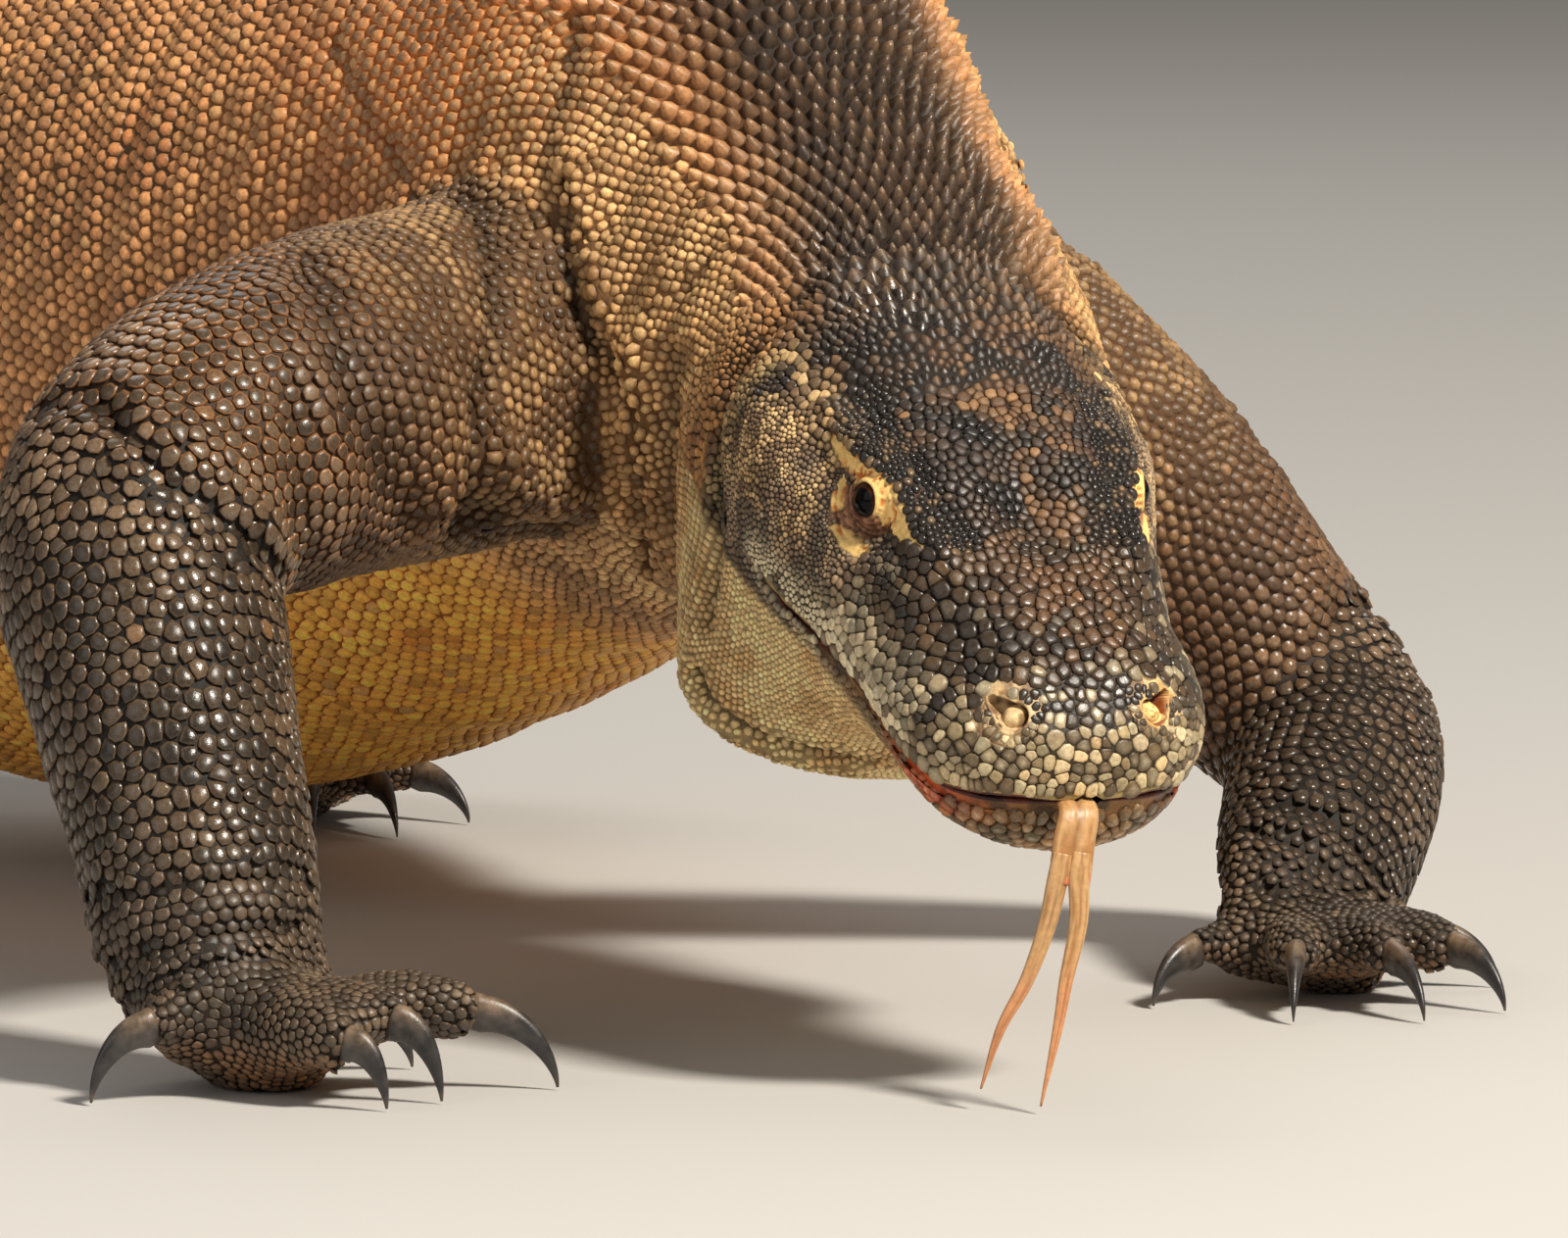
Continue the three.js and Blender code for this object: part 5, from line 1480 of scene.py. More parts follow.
for i, (key, limb) in enumerate(LIMBS.items()):
    last = len(limb["rows"]) - 1
    span = last / 12.0
    ps, pc = LIMB_PITCH["fore_right"]
    at = lambda k, f, limb=limb: limb_point(limb, k, f, -1.4)
    st = stations(0.3 * span, last - 0.1, lambda x: ps(x / span), at)
    k, f = rows_of(at, st, -np.pi, np.pi, lambda x: pc(x / span), 0.09)
    k = np.clip(k + rng.normal(0, 0.012, len(k)), 0, last)
    lie = limb_frame(limb, k)[1]
    size = np.array([(ps(x / span) + pc(x / span)) / 2 for x in k])
    add_roots(at(k, f), 1 + i, k, f, size, lie, "body", 2)
    roots[-1]["style"] = np.where(k / span < 2.7, 0, 2)
for i, (name, (key, digit, rows, c, ahead, end)) in enumerate(TOES.items()):
    at = lambda k, f, rows=rows, ahead=ahead: toe_point(rows, ahead, k, f, -1.1)
    st = stations(0.7, 2.93, lambda x: 3.8, at)
    k, f = rows_of(at, st, -np.pi, np.pi, lambda x: 4.7, 0.07)
    lie = toe_frame(rows, ahead, k)[1]
    add_roots(at(k, f), 1 + len(LIMBS) + i, k, f, 4.2, lie, "body", 5)

R = {k: np.concatenate([r[k] for r in roots]) for k in roots[0]}
pos, nrm_, _ = settle("body", R["p"])
owner, os_, of_ = place(pos)
ok = (owner == R["tube"]) & (np.linalg.norm(pos - R["p"], axis=1) < 26) & (pos[:, 2] > 1.0)
R = {k: v[ok] for k, v in R.items()}
R["p"], R["n"] = pos[ok], nrm_[ok]
print("body roots", len(R["p"]))


def thin_out(p, size, keep_factor=0.62):
    """Drops the later of any two roots that are too close together."""
    tree = tree_of(p)
    alive = np.ones(len(p), bool)
    for i, q in enumerate(p.tolist()):
        if not alive[i]:
            continue
        for _, j, d in tree.find_range(q, keep_factor * size[i]):
            if j > i and alive[j]:
                alive[j] = False
    return alive


def neighbours(p, count):
    tree = tree_of(p)
    out = np.zeros((len(p), count), int)
    for i, q in enumerate(p.tolist()):
        near = tree.find_n(q, count + 1)
        js = [j for _, j, _ in near if j != i][:count]
        out[i, : len(js)] = js
        out[i, len(js):] = js[-1] if js else i
    return out


def spread(R, land, rounds, step):
    """Evens out the spacing a little without losing the rows."""
    for _ in range(rounds):
        nb = neighbours(R["p"], 7)
        d = R["p"][:, None] - R["p"][nb]
        dist = np.maximum(np.linalg.norm(d, axis=2), 1e-6)
        want = (R["size"][:, None] + R["size"][nb]) / 2
        push = np.maximum(want - dist, 0) / dist
        move = (d * push[..., None]).sum(1) * step
        size = R["size"][:, None]
        move = move * np.minimum(1, 0.35 * size / np.maximum(np.linalg.norm(move, axis=1, keepdims=True), 1e-6))
        R["p"], R["n"], R["kind"] = settle(land, R["p"] + move)
    return R


alive = thin_out(R["p"], R["size"], 0.70)
R = {k: v[alive] for k, v in R.items()}
R = spread(R, "body", 2, 0.35)
# bare places, such as the sides of deep folds, get scales like the nearest ones
i, d = nearest(tree_of(R["p"]), body_co)
bare = np.where((d > np.where(tube > 0, 0.58, 0.69) * R["size"][i]) & (body_co[:, 2] > 1.2) & ~((tube == 0) & (bs < 222)))[0]
bare = bare[rng.permutation(len(bare))]
bare = bare[thin_out(body_co[bare], R["size"][i[bare]], 0.85)]
print("filled in", len(bare))
more = {k: v[i[bare]].copy() for k, v in R.items()}
more["p"], more["n"], more["s"], more["f"], more["tube"] = body_co[bare], skin_nrm[bare], bs[bare], bf[bare], tube[bare]
R = {k: np.concatenate([v, more[k]]) for k, v in R.items()}
R = spread(R, "body", 2, 0.35)
print("body roots after thinning", len(R["p"]))


def head_size(p, kind):
    """Distance between scales on the head."""
    a, l, h = head_coords(p)
    al = np.abs(l)
    lip = lip_height(a)
    size = np.full(len(p), 4.6)
    size = size + (5.7 - size) * (1 - smooth(a, 60, 92)) * smooth(h, 8, 20)
    size = size + (4.8 - size) * (1 - smooth(h - lip, 12, 20)) * (1 - smooth(a, 90, 120)) * (kind != 1)
    size = size + (5.3 - size) * (1 - smooth(a, 14, 26))
    crown = smooth(h, 40, 54) * smooth(a, 84, 100)
    size = size + (4.3 - size) * crown
    size = size + (5.6 - size) * smooth(a, 172, 200) * (1 - smooth(al, 26, 50)) * smooth(h, 20, 40)
    size = size + (3.2 - size) * brow_band(a, al, h)
    cheek = smooth(a, 96, 118) * (1 - smooth(h, 40, 50)) * smooth(al, 34, 46)
    size = size + (2.2 - size) * cheek * (kind != 1)
    rear = smooth(a, 186, 204) * smooth(al, 40, 60)
    size = size + (3.6 - size) * rear
    throat = smooth(lip - h, 6, 14) * smooth(a, 60, 96)
    size = size + (2.9 - size) * throat
    size = size + (4.2 - size) * (kind == 1) * (1 - smooth(a, 70, 100))
    lid = (kind == 3) * (1 - smooth(np.hypot(a - 119, h - 40), 13, 18)) * (1 - smooth(h, 48, 51))
    size = size + (2.1 - size) * lid
    for c, axis, e1, e2 in NOSTRILS:
        q = p - c
        ring = nostril_ring(q @ e1, q @ e2) + 9 * (np.abs(q @ axis) > 12)
        size = size + (3.0 - size) * (1 - smooth(ring, 1.6, 2.7))
    return size


def head_roots(land, seed):
    bvh, faces, nrm, co, kind = LAND[land]
    r = np.random.default_rng(seed)
    tri = np.concatenate([faces[:, [0, 1, 2]], faces[:, [0, 2, 3]]])
    A, B, C = co[tri[:, 0]], co[tri[:, 1]], co[tri[:, 2]]
    area = np.linalg.norm(np.cross(B - A, C - A), axis=1) / 2
    mid = (A + B + C) / 3
    tk = kind[tri[:, 0]]
    a, l, h = head_coords(mid)
    size = head_size(mid, tk)
    lip = lip_height(a)
    ok = place(mid)[1] < 224
    if land == "upper":
        # the lip's own margin, the inside of the nostrils and the skin right round the eyes are bare
        ok &= ~((h - lip < 3.4) & (a < 146))
        for c, axis, e1, e2 in NOSTRILS:
            q = mid - c
            x, y = q @ e1, q @ e2
            by = np.abs(q @ axis) < 14
            ok &= ~(((nostril_ring(x, y) < 1.32) | (np.hypot(x + 6.2, y + 0.4) < 4.4)) & by)
            ok &= ~((np.hypot(x + 8.0, y - 3.2) < 3.6) & by)
            ok &= ~((tk == 0) & (np.hypot(x, y) < 11.8) & by)
            ok &= ~((tk == 4) & (np.hypot(x, y) > 12.2) & by)
        for ball, axis, e1, e2 in EYES.values():
            q = mid - ball
            rad = np.hypot(q @ e1, q @ e2)
            out = q @ axis > 0
            ok &= ~((tk == 0) & (rad < 18.2) & out)
            ok &= ~((tk == 3) & (rad > 19.4) & out)
        ok &= ~((lid_place(a, h) < 1.0) & (np.abs(l) > 33))
    else:
        ok &= ~((lip - h < 5.5) & (a < 110))
        ok &= ~((lip - h < 1.5) & (a < 146))
    w = np.where(ok, area, 0)
    total = (w / (0.866 * size**2)).sum()
    count = int(total)
    # fine points all over, then cells of them
    m = 14 * count
    pick = r.choice(len(tri), m, p=(w / size**2) / (w / size**2).sum())
    u, v = r.random(m), r.random(m)
    flip = u + v > 1
    u, v = np.where(flip, 1 - u, u), np.where(flip, 1 - v, v)
    pts = A[pick] + (B[pick] - A[pick]) * u[:, None] + (C[pick] - A[pick]) * v[:, None]
    psize = size[pick]
    seeds = pts[r.permutation(m)[:count]]
    for _ in range(9):
        i, _ = nearest(tree_of(seeds), pts)
        wt = 1 / psize**2
        sw = np.bincount(i, wt, minlength=count)
        seeds_new = np.stack([np.bincount(i, wt * pts[:, c], minlength=count) for c in range(3)], 1) / np.maximum(sw, 1e-9)[:, None]
        seeds = np.where(sw[:, None] > 0, seeds_new, seeds)
    p, n, k = settle(land, seeds)
    return p, n, k, head_size(p, k)


def throat_roots():
    """Even rows of beads over the throat and the sides of the jaw."""
    st = stations(58, 226, lambda s: 2.9, lambda s, f: axial_point(s, np.full(len(s), np.pi * 0.8)))
    s, f = rows_of(lambda a, b: head_surface(a, b), st, math.radians(84), math.radians(276), lambda s: 2.75, 0.07)
    s = s + 2.0 * (noise(head_surface(s, f), 30, 63) - 0.5)
    p = head_surface(s, f)
    q, n, k = settle("jaw", p)
    a, l, h = head_coords(q)
    lip = lip_height(a)
    ok = (np.linalg.norm(p - q, axis=1) < 12) & ~((lip - h < 5.5) & (a < 110)) & ~((lip - h < 1.8) & (a < 148)) & (s < 225) & ((k == 1))
    return q[ok], n[ok], k[ok], np.full(ok.sum(), 2.85)


hp = []
for land, seed in (("upper", 5), ("jaw", 6)):
    p, n, k, size = head_roots(land, seed)
    if land == "jaw":
        keep = head_coords(p)[0] < 60
        p, n, k, size = (np.concatenate(x) for x in zip((p[keep], n[keep], k[keep], size[keep]), throat_roots()))
        alive = thin_out(p, size, 0.72)
        p, n, k, size = p[alive], n[alive], k[alive], size[alive]
    print(land, "roots", len(p))
    a, l, h = head_coords(p)
    fwd = unit(-HD * np.ones_like(p) - n * (n @ -HD)[:, None])
    style = np.where(size < 2.4, 8, np.where(size > 3.9, 7, 6))
    style = np.where((a > 150) & (np.abs(l) < 50) & (h > 30), 1, style)
    t_, s_, f_ = place(p)
    H = dict(p=p, tube=np.full(len(p), -1 if land == "upper" else -2), s=s_, f=f_, size=size, lie=fwd, land=np.full(len(p), land), style=style, n=n, kind=k)
    hp.append(H)
# where head and neck meet, the finer head scales stay and the neck's give way
head_tree = tree_of(np.concatenate([g["p"] for g in hp]))
front = np.where((R["tube"] == 0) & (R["s"] < 260))[0]
_, gap_to = nearest(head_tree, R["p"][front])
alive = np.ones(len(R["p"]), bool)
alive[front[gap_to < 0.62 * R["size"][front]]] = False
R["kind"] = np.full(len(R["p"]), -1)
R = {k: v[alive] for k, v in R.items()}
groups = [R] + hp
for g in groups:
    g["nb"] = neighbours(g["p"], 9)
    # every scale takes up the room it has
    room = np.linalg.norm(g["p"][g["nb"][:, :6]] - g["p"][:, None], axis=2).mean(1)
    g["size"] = np.clip(room, 0.8 * g["size"], (1.5 if g is R else 1.28) * g["size"])


# ------------------------------------------------------------------ the scales themselves
# style: height and front-to-back lean as parts of the size, roundness of the outline, gap between neighbours
STYLES = {
    0: (0.27, 0.10, 8, 0.975),   # beads of trunk, neck and throat
    1: (0.56, 0.20, 9, 0.97),   # cones of the nape
    2: (0.17, 0.14, 16, 0.985),  # plates of the limbs
    3: (0.14, 0.10, 16, 0.97),  # flat belly scales
    4: (0.17, 0.16, 14, 0.97),  # keeled tail scales
    5: (0.22, 0.16, 12, 0.985),  # toes
    6: (0.32, 0.08, 8, 0.97),   # fine grain of cheek and temple
    7: (0.27, 0.05, 16, 0.985),  # polygons of snout and crown
    8: (0.20, 0.05, 7, 0.92),   # grain beside the lids
}
# ring radii and heights, outermost first, then the top
SHAPES = {
    "fine": ([1.0, 0.95, 0.74, 0.38], [-0.35, 0.34, 0.80, 0.97], 10),
    "near": ([1.0, 0.90, 0.55], [-0.35, 0.46, 0.90], 7),
    "mid": ([1.0, 0.62], [-0.25, 0.72], 6),
    "far": ([1.0], [-0.2], 6),
}
PLATE = {"fine": ([1.0, 0.97, 0.84, 0.46], [-0.35, 0.46, 0.87, 1.0]), "near": ([1.0, 0.95, 0.70], [-0.35, 0.60, 0.97]), "mid": ([1.0, 0.80], [-0.25, 0.85]), "far": ([1.0], [-0.2])}
CONE = {"fine": ([1.0, 0.84, 0.52, 0.22], [-0.3, 0.16, 0.52, 0.86]), "near": ([1.0, 0.72, 0.36], [-0.3, 0.28, 0.70]), "mid": ([1.0, 0.5], [-0.25, 0.55]), "far": ([1.0], [-0.2])}


def scale_arrays(g, idx, detail):
    """Joined mesh of many scales: vertices, triangles, colours, gloss, place of each vertex on its own scale, owner."""
    radii, heights, K = SHAPES[detail]
    cone_r, cone_h = CONE[detail]
    plate_r, plate_h = PLATE[detail]
    n = len(idx)
    p, nn, size = g["p"][idx], g["n"][idx], g["size"][idx]
    t = g["lie"][idx]
    t = unit(t - nn * (t * nn).sum(1, keepdims=True))
    b = np.cross(nn, t)
    st = g["style"][idx]
    high = np.array([STYLES[k][0] for k in range(9)])[st] * g.get("swell", np.ones(len(g["p"])))[idx]
    lean = np.array([STYLES[k][1] for k in range(9)])[st]
    soft = np.array([STYLES[k][2] for k in range(9)])[st]
    tight = np.array([STYLES[k][3] for k in range(9)])[st]
    d = g["p"][g["nb"][idx]] - p[:, None]
    dx, dy = (d * t[:, None]).sum(2), (d * b[:, None]).sum(2)
    dist = np.maximum(np.hypot(dx, dy), 0.3)
    own = size[:, None] / (size[:, None] + g["size"][g["nb"][idx]])
    turn = (rng.random(n) - 0.5) * 0.25
    th = 2 * np.pi * (np.arange(K)[None] + 0.5) / K + turn[:, None]
    cos = (np.cos(th)[:, :, None] * dx[:, None] + np.sin(th)[:, :, None] * dy[:, None]) / dist[:, None]
    reach = np.maximum(cos, 0.0) / (own * dist)[:, None]
    e = soft[:, None]
    wide = np.where(st == 2, 0.88, 0.70)[:, None] * size[:, None]
    r = ((reach**e[:, :, None]).sum(2) + (1 / wide) ** e) ** (-1 / e)
    r = np.clip(r, 0.2 * size[:, None], 1.03 * wide) * tight[:, None]
    tall = size * high * (0.86 + 0.28 * rng.random(n))
    tall = np.where(st == 1, tall * g.get("rise", np.ones(len(g["p"])))[idx], tall)
    is_cone = (st == 1) | (st == 4)
    is_plate = (st == 2) | (st == 5) | (st == 7) | (st == 3)
    back = lean * size
    rings = []
    for j, (rr, hh) in enumerate(zip(radii, heights)):
        rad = np.where(is_cone, cone_r[j], np.where(is_plate, plate_r[j], rr))
        hgt = np.where(is_cone, cone_h[j], np.where(is_plate, plate_h[j], hh))
        lift = np.where(hgt < 0, hgt * np.minimum(1.0, size / 4) * 1.3, hgt * tall)
        shift = np.maximum(hgt, 0) * back
        x = np.cos(th) * r * rad[:, None] + shift[:, None]
        y = np.sin(th) * r * rad[:, None]
        # the hind edge of each scale rides a little over the next one
        tilt = 0.07 * x if j < len(radii) - 1 or len(radii) == 1 else 0.05 * x
        z = lift[:, None] + np.where((st != 6)[:, None], tilt, 0)
        rings.append(p[:, None] + t[:, None] * x[..., None] + b[:, None] * y[..., None] + nn[:, None] * z[..., None])
    apex = p + t * (back * 1.05)[:, None] + nn * (tall + 0.05 * back)[:, None]
    R = len(radii)
    m = R * K + 1
    V = np.concatenate([np.stack(rings, 1).reshape(n, R * K, 3), apex[:, None]], 1)
    tris = []
    for j in range(R - 1):
        for k in range(K):
            a0, a1 = j * K + k, j * K + (k + 1) % K
            tris += [(a0, a1, a1 + K), (a0, a1 + K, a0 + K)]
    for k in range(K):
        tris.append(((R - 1) * K + k, (R - 1) * K + (k + 1) % K, R * K))
    tris = np.array(tris)
    T = (tris[None] + (np.arange(n) * m)[:, None, None]).reshape(-1, 3)
    tip, top, rim, gap, gloss = (g[q][idx] for q in ("tip", "top", "rim", "gap", "gloss"))
    steps = {
        1: [rim],
        2: [gap, rim * 0.35 + top * 0.65],
        3: [gap, rim * 0.8 + top * 0.2, top * 0.9 + tip * 0.1],
        4: [gap, rim, rim * 0.12 + top * 0.88, top * 0.5 + tip * 0.5],
    }[R]
    C = np.empty((n, m, 3))
    for j in range(R):
        C[:, j * K : (j + 1) * K] = steps[j][:, None]
    C[:, -1] = tip
    G = np.repeat(gloss, m).reshape(n, m)
    G[:, :K] *= 0.5
    uv = np.zeros((n, m, 2))
    for j, rr in enumerate(radii):
        uv[:, j * K : (j + 1) * K, 0] = np.cos(th) * rr
        uv[:, j * K : (j + 1) * K, 1] = np.sin(th) * rr
    return V.reshape(-1, 3), T, C.reshape(-1, 3), G.ravel(), uv.reshape(-1, 2), np.repeat(np.arange(n), m)


def spread_uv(where):
    """Root places of one piece, on the unwrap of the loft's own shape, stretched over the whole square."""
    lo, hi = where.min(0), where.max(0)
    return 0.02 + 0.96 * (where - lo) / np.maximum(hi - lo, 1e-9)


SCALE_COUNT = 0


def scale_piece(name, g, idx, detail, where):
    """One piece of coat, cut in several where it would be too heavy."""
    global SCALE_COUNT
    R, K = len(SHAPES[detail][0]), SHAPES[detail][2]
    each = (R - 1) * K * 2 + K
    parts = max(1, int(math.ceil(len(idx) * each / 188000)))
    order = np.argsort(where[:, 1], kind="stable")
    for c, chosen in enumerate(np.array_split(order, parts)):
        V, T, C, G, UV, owner = scale_arrays(g, idx[chosen], detail)
        V[:, 2] = np.maximum(V[:, 2], 0.25)
        ob = make_mesh(name if parts == 1 else f"{name}_{c + 1}", V, tris=T)
        paint(ob, C, G)
        rooted = spread_uv(where[chosen])
        uv = rooted[owner] + UV * 0.0015
        layer = ob.data.uv_layers.new(name="OFBake")
        layer.data.foreach_set("uv", uv[T.ravel()].astype(np.float32).ravel())
        ob.data.materials.append(SCALE_MAT)
        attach(ob, "root")
        SCALE_COUNT += len(T)


def node_material(name):
    mat = bpy.data.materials.new(name)
    mat.use_nodes = True
    nt = mat.node_tree
    return mat, nt, nt.nodes["Principled BSDF"]


def add(nt, kind, **props):
    node = nt.nodes.new(kind)
    for k, v in props.items():
        if k in node.inputs:
            node.inputs[k].default_value = v
        else:
            setattr(node, k, v)
    return node


def coloured_material(name, grain, contrast, rough_hi, rough_lo, bump_size, bump_height):
    """Vertex colour broken up by noise, gloss by its own attribute, fine bump."""
    mat, nt, bsdf = node_material(name)
    link = nt.links.new
    tint = add(nt, "ShaderNodeAttribute", attribute_name="tint")
    gloss = add(nt, "ShaderNodeAttribute", attribute_name="gloss")
    coord = add(nt, "ShaderNodeTexCoord")
    n1 = add(nt, "ShaderNodeTexNoise")
    n1.inputs["Scale"].default_value = grain
    n1.inputs["Detail"].default_value = 4.0
    link(coord.outputs["Object"], n1.inputs["Vector"])
    ramp = add(nt, "ShaderNodeMapRange")
    for k, v in (("From Min", 0.3), ("From Max", 0.7), ("To Min", 1 - contrast), ("To Max", 1 + contrast)):
        ramp.inputs[k].default_value = v
    link(n1.outputs["Fac"], ramp.inputs["Value"])
    mul = add(nt, "ShaderNodeVectorMath", operation="SCALE")
    link(tint.outputs["Color"], mul.inputs[0])
    link(ramp.outputs["Result"], mul.inputs["Scale"])
    link(mul.outputs["Vector"], bsdf.inputs["Base Color"])
    rough = add(nt, "ShaderNodeMapRange")
    for k, v in (("From Min", 0.0), ("From Max", 1.0), ("To Min", rough_hi), ("To Max", rough_lo)):
        rough.inputs[k].default_value = v
    link(gloss.outputs["Fac"], rough.inputs["Value"])
    rn = add(nt, "ShaderNodeMapRange")
    for k, v in (("From Min", 0.3), ("From Max", 0.7), ("To Min", -0.06), ("To Max", 0.06)):
        rn.inputs[k].default_value = v
    link(n1.outputs["Fac"], rn.inputs["Value"])
    sm = add(nt, "ShaderNodeMath", operation="ADD")
    link(rough.outputs["Result"], sm.inputs[0])
    link(rn.outputs["Result"], sm.inputs[1])
    link(sm.outputs[0], bsdf.inputs["Roughness"])
    n2 = add(nt, "ShaderNodeTexNoise")
    n2.inputs["Scale"].default_value = bump_size
    n2.inputs["Detail"].default_value = 3.0
    link(coord.outputs["Object"], n2.inputs["Vector"])
    bp = add(nt, "ShaderNodeBump")
    bp.inputs["Strength"].default_value = 0.6
    bp.inputs["Distance"].default_value = bump_height
    link(n2.outputs["Fac"], bp.inputs["Height"])
    link(bp.outputs["Normal"], bsdf.inputs["Normal"])
    bsdf.inputs["Specular IOR Level"].default_value = 0.5 if name == "scales" else 0.28
    return mat


SCALE_MAT = coloured_material("scales", 700.0, 0.26, 0.66, 0.20, 1500.0, 0.00014)
SKIN_MAT = coloured_material("skin", 500.0, 0.20, 0.75, 0.22, 900.0, 0.0003)
skin_ob.data.materials.append(SKIN_MAT)


# colours of the body's scales
SKIN_TREE = tree_of(skin_co)


def colour_roots(g, parts, seed, amount):
    """Gives every scale its own tone, and paints shade onto the ones down in the folds, darkening them and their gaps.
    """
    tip, top, rim, gap, gloss = parts
    n = len(top)
    i, _ = nearest(SKIN_TREE, g["p"])
    # painted shade: scales and gaps are darker the deeper their crease runs
    deep = (1 - 0.55 * crease[i])[:, None]
    r = np.random.default_rng(seed)
    shade = ((1 + amount * (r.random(n) - 0.5) * 2)[:, None] * (1 + 0.10 * (r.random((n, 1)) - 0.5) * np.array([[1.0, 0.0, -1.0]]))) * deep
    g["tip"], g["top"], g["rim"], g["gap"] = tip * shade, top * shade, rim * deep * (0.5 + 0.5 * shade / deep), gap * deep
    g["gloss"] = np.clip(gloss + 0.3 * (r.random(n) - 0.5), 0.05, 1)


parts = list(body_tint(R["p"], R["tube"], R["s"], R["f"]))
N = len(R["p"])
odd = np.random.default_rng(3).random(N)
pale = ((odd > 0.94) & (R["tube"] == 0) & (R["s"] < 900) & (np.abs(R["f"]) > 1.0)).astype(float)[:, None] * 0.6
for q in (0, 1):
    parts[q] = parts[q] * (1 - pale) + rgb(222, 172, 112) * pale
colour_roots(R, parts, 8, 0.32)
R["rise"] = 0.72 + 0.45 * bump(R["s"], 236, 400, 40)
for g in hp:
    ours = head_tint(g["p"], g["kind"])
    n = len(g["p"])
    blend = smooth(g["s"], 206, 228)
    theirs = body_tint(g["p"], np.zeros(n, int), g["s"], g["f"])
    mixed = [mix(x, y, blend) for x, y in zip(ours[:4], theirs[:4])] + [ours[4] * (1 - blend) + theirs[4] * blend]
    colour_roots(g, mixed, 9, 0.26)
    a, l, h = head_coords(g["p"])
    g["rise"] = 0.42 + 0.5 * smooth(a, 160, 225)
    g["swell"] = 1 - 0.5 * np.clip((1 - smooth(a, 18, 40)) + (1 - smooth(h - lip_height(a), 11, 19)) * (a < 120), 0, 1) * (g["kind"] != 1)

deg = np.degrees((R["f"] + np.pi) % (2 * np.pi) - np.pi)
axial = R["tube"] == 0
where_ax = np.stack([deg, R["s"]], 1)
names = list(LIMBS)
for name, cond, detail in (
    ("scales_nape", axial & (R["s"] < 470) & (np.abs(deg) <= 46), "near"),
    ("scales_neck_right", axial & (R["s"] < 470) & (deg < -46), "near"),
    ("scales_neck_left", axial & (R["s"] < 470) & (deg > 46), "mid"),
    ("scales_trunk_right", axial & (R["s"] >= 470) & (R["s"] < 760) & (deg < 0), "near"),
    ("scales_trunk_left", axial & (R["s"] >= 470) & (R["s"] < 1120) & (deg >= 0), "mid"),
    ("scales_trunk_rear", axial & (R["s"] >= 760) & (R["s"] < 1120) & (deg < 0), "mid"),
    ("scales_tail", axial & (R["s"] >= 1120), "mid"),
):
    idx = np.where(cond)[0]
    if len(idx):
        scale_piece(name, R, idx, detail, where_ax[idx])
for i, key in enumerate(names):
    toes = [1 + len(names) + j for j, (k2, *_rest) in enumerate(TOES.values()) if k2 == key]
    on = R["tube"] == 1 + i
    detail = "near" if key == "fore_right" else "mid"
    idx = np.where(on)[0]
    scale_piece(f"scales_{'arm' if 'fore' in key else 'leg'}_{key.split('_')[1]}", R, idx, detail, np.stack([R["f"][idx], R["s"][idx]], 1))
    idx = np.where(np.isin(R["tube"], toes))[0]
    # each toe has a strip of the square to itself
    strip = np.array([toes.index(q) for q in R["tube"][idx]])
    fx = (R["f"][idx] + np.pi) / (2 * np.pi)
    scale_piece(f"scales_{'hand' if 'fore' in key else 'foot'}_{key.split('_')[1]}", R, idx, detail if key.startswith("fore") else "mid", np.stack([strip + 0.05 + 0.9 * fx, R["s"][idx]], 1))
run = np.linspace(0, 1, len(HEAD_S))
for g, name in zip(hp, ("scales_head", "scales_jaw")):
    a, l, h = head_coords(g["p"])
    round_ = np.arctan2(l, (h + 6) * (1 if name == "scales_head" else -1))
    where = np.stack([round_, np.interp(a, HEAD_S, run)], 1)
    big = g["size"] > 3.4
    for tag, cond, detail in (("plates", big, "fine" if name == "scales_head" else "near"), ("grain", ~big, "near")):
        idx = np.where(cond)[0]
        if len(idx):
            scale_piece(f"{name}_{tag}", g, idx, detail, where[idx])
print("scales", SCALE_COUNT, "roots", len(R["p"]) + sum(len(g["p"]) for g in hp))

# ------------------------------------------------------------------ eyes
def revolve(profile, segs):
    """Rings of (radius, height) about z, first and last on the axis."""
    th = 2 * np.pi * np.arange(segs) / segs
    body = profile[1:-1]
    v = np.array([[r * math.cos(t), r * math.sin(t), z] for r, z in body for t in th])
    v = np.concatenate([v, [[0, 0, profile[0][1]], [0, 0, profile[-1][1]]]])
    quads, tris = [], []
    for j in range(len(body) - 1):
        for k in range(segs):
            a, b = j * segs + k, j * segs + (k + 1) % segs
            quads.append((a, b, b + segs, a + segs))
    top, low, last = len(v) - 2, len(v) - 1, (len(body) - 1) * segs
    for k in range(segs):
        tris.append((top, (k + 1) % segs, k))
        tris.append((low, last + k, last + (k + 1) % segs))
    return v, np.array(quads), np.array(tris)


eye_mat, nt, eb = node_material("eye")
tint = add(nt, "ShaderNodeAttribute", attribute_name="tint")
coord = add(nt, "ShaderNodeTexCoord")
nz = add(nt, "ShaderNodeTexNoise")
nz.inputs["Scale"].default_value = 1400.0
nt.links.new(coord.outputs["Object"], nz.inputs["Vector"])
mr = add(nt, "ShaderNodeMapRange")
mr.inputs["To Min"].default_value, mr.inputs["To Max"].default_value = 0.6, 1.5
nt.links.new(nz.outputs["Fac"], mr.inputs["Value"])
sc = add(nt, "ShaderNodeVectorMath", operation="SCALE")
nt.links.new(tint.outputs["Color"], sc.inputs[0])
nt.links.new(mr.outputs["Result"], sc.inputs["Scale"])
nt.links.new(sc.outputs["Vector"], eb.inputs["Base Color"])
er = add(nt, "ShaderNodeMapRange")
er.inputs["To Min"].default_value, er.inputs["To Max"].default_value = 0.03, 0.09
nt.links.new(nz.outputs["Fac"], er.inputs["Value"])
nt.links.new(er.outputs["Result"], eb.inputs["Roughness"])
ebp = add(nt, "ShaderNodeBump")
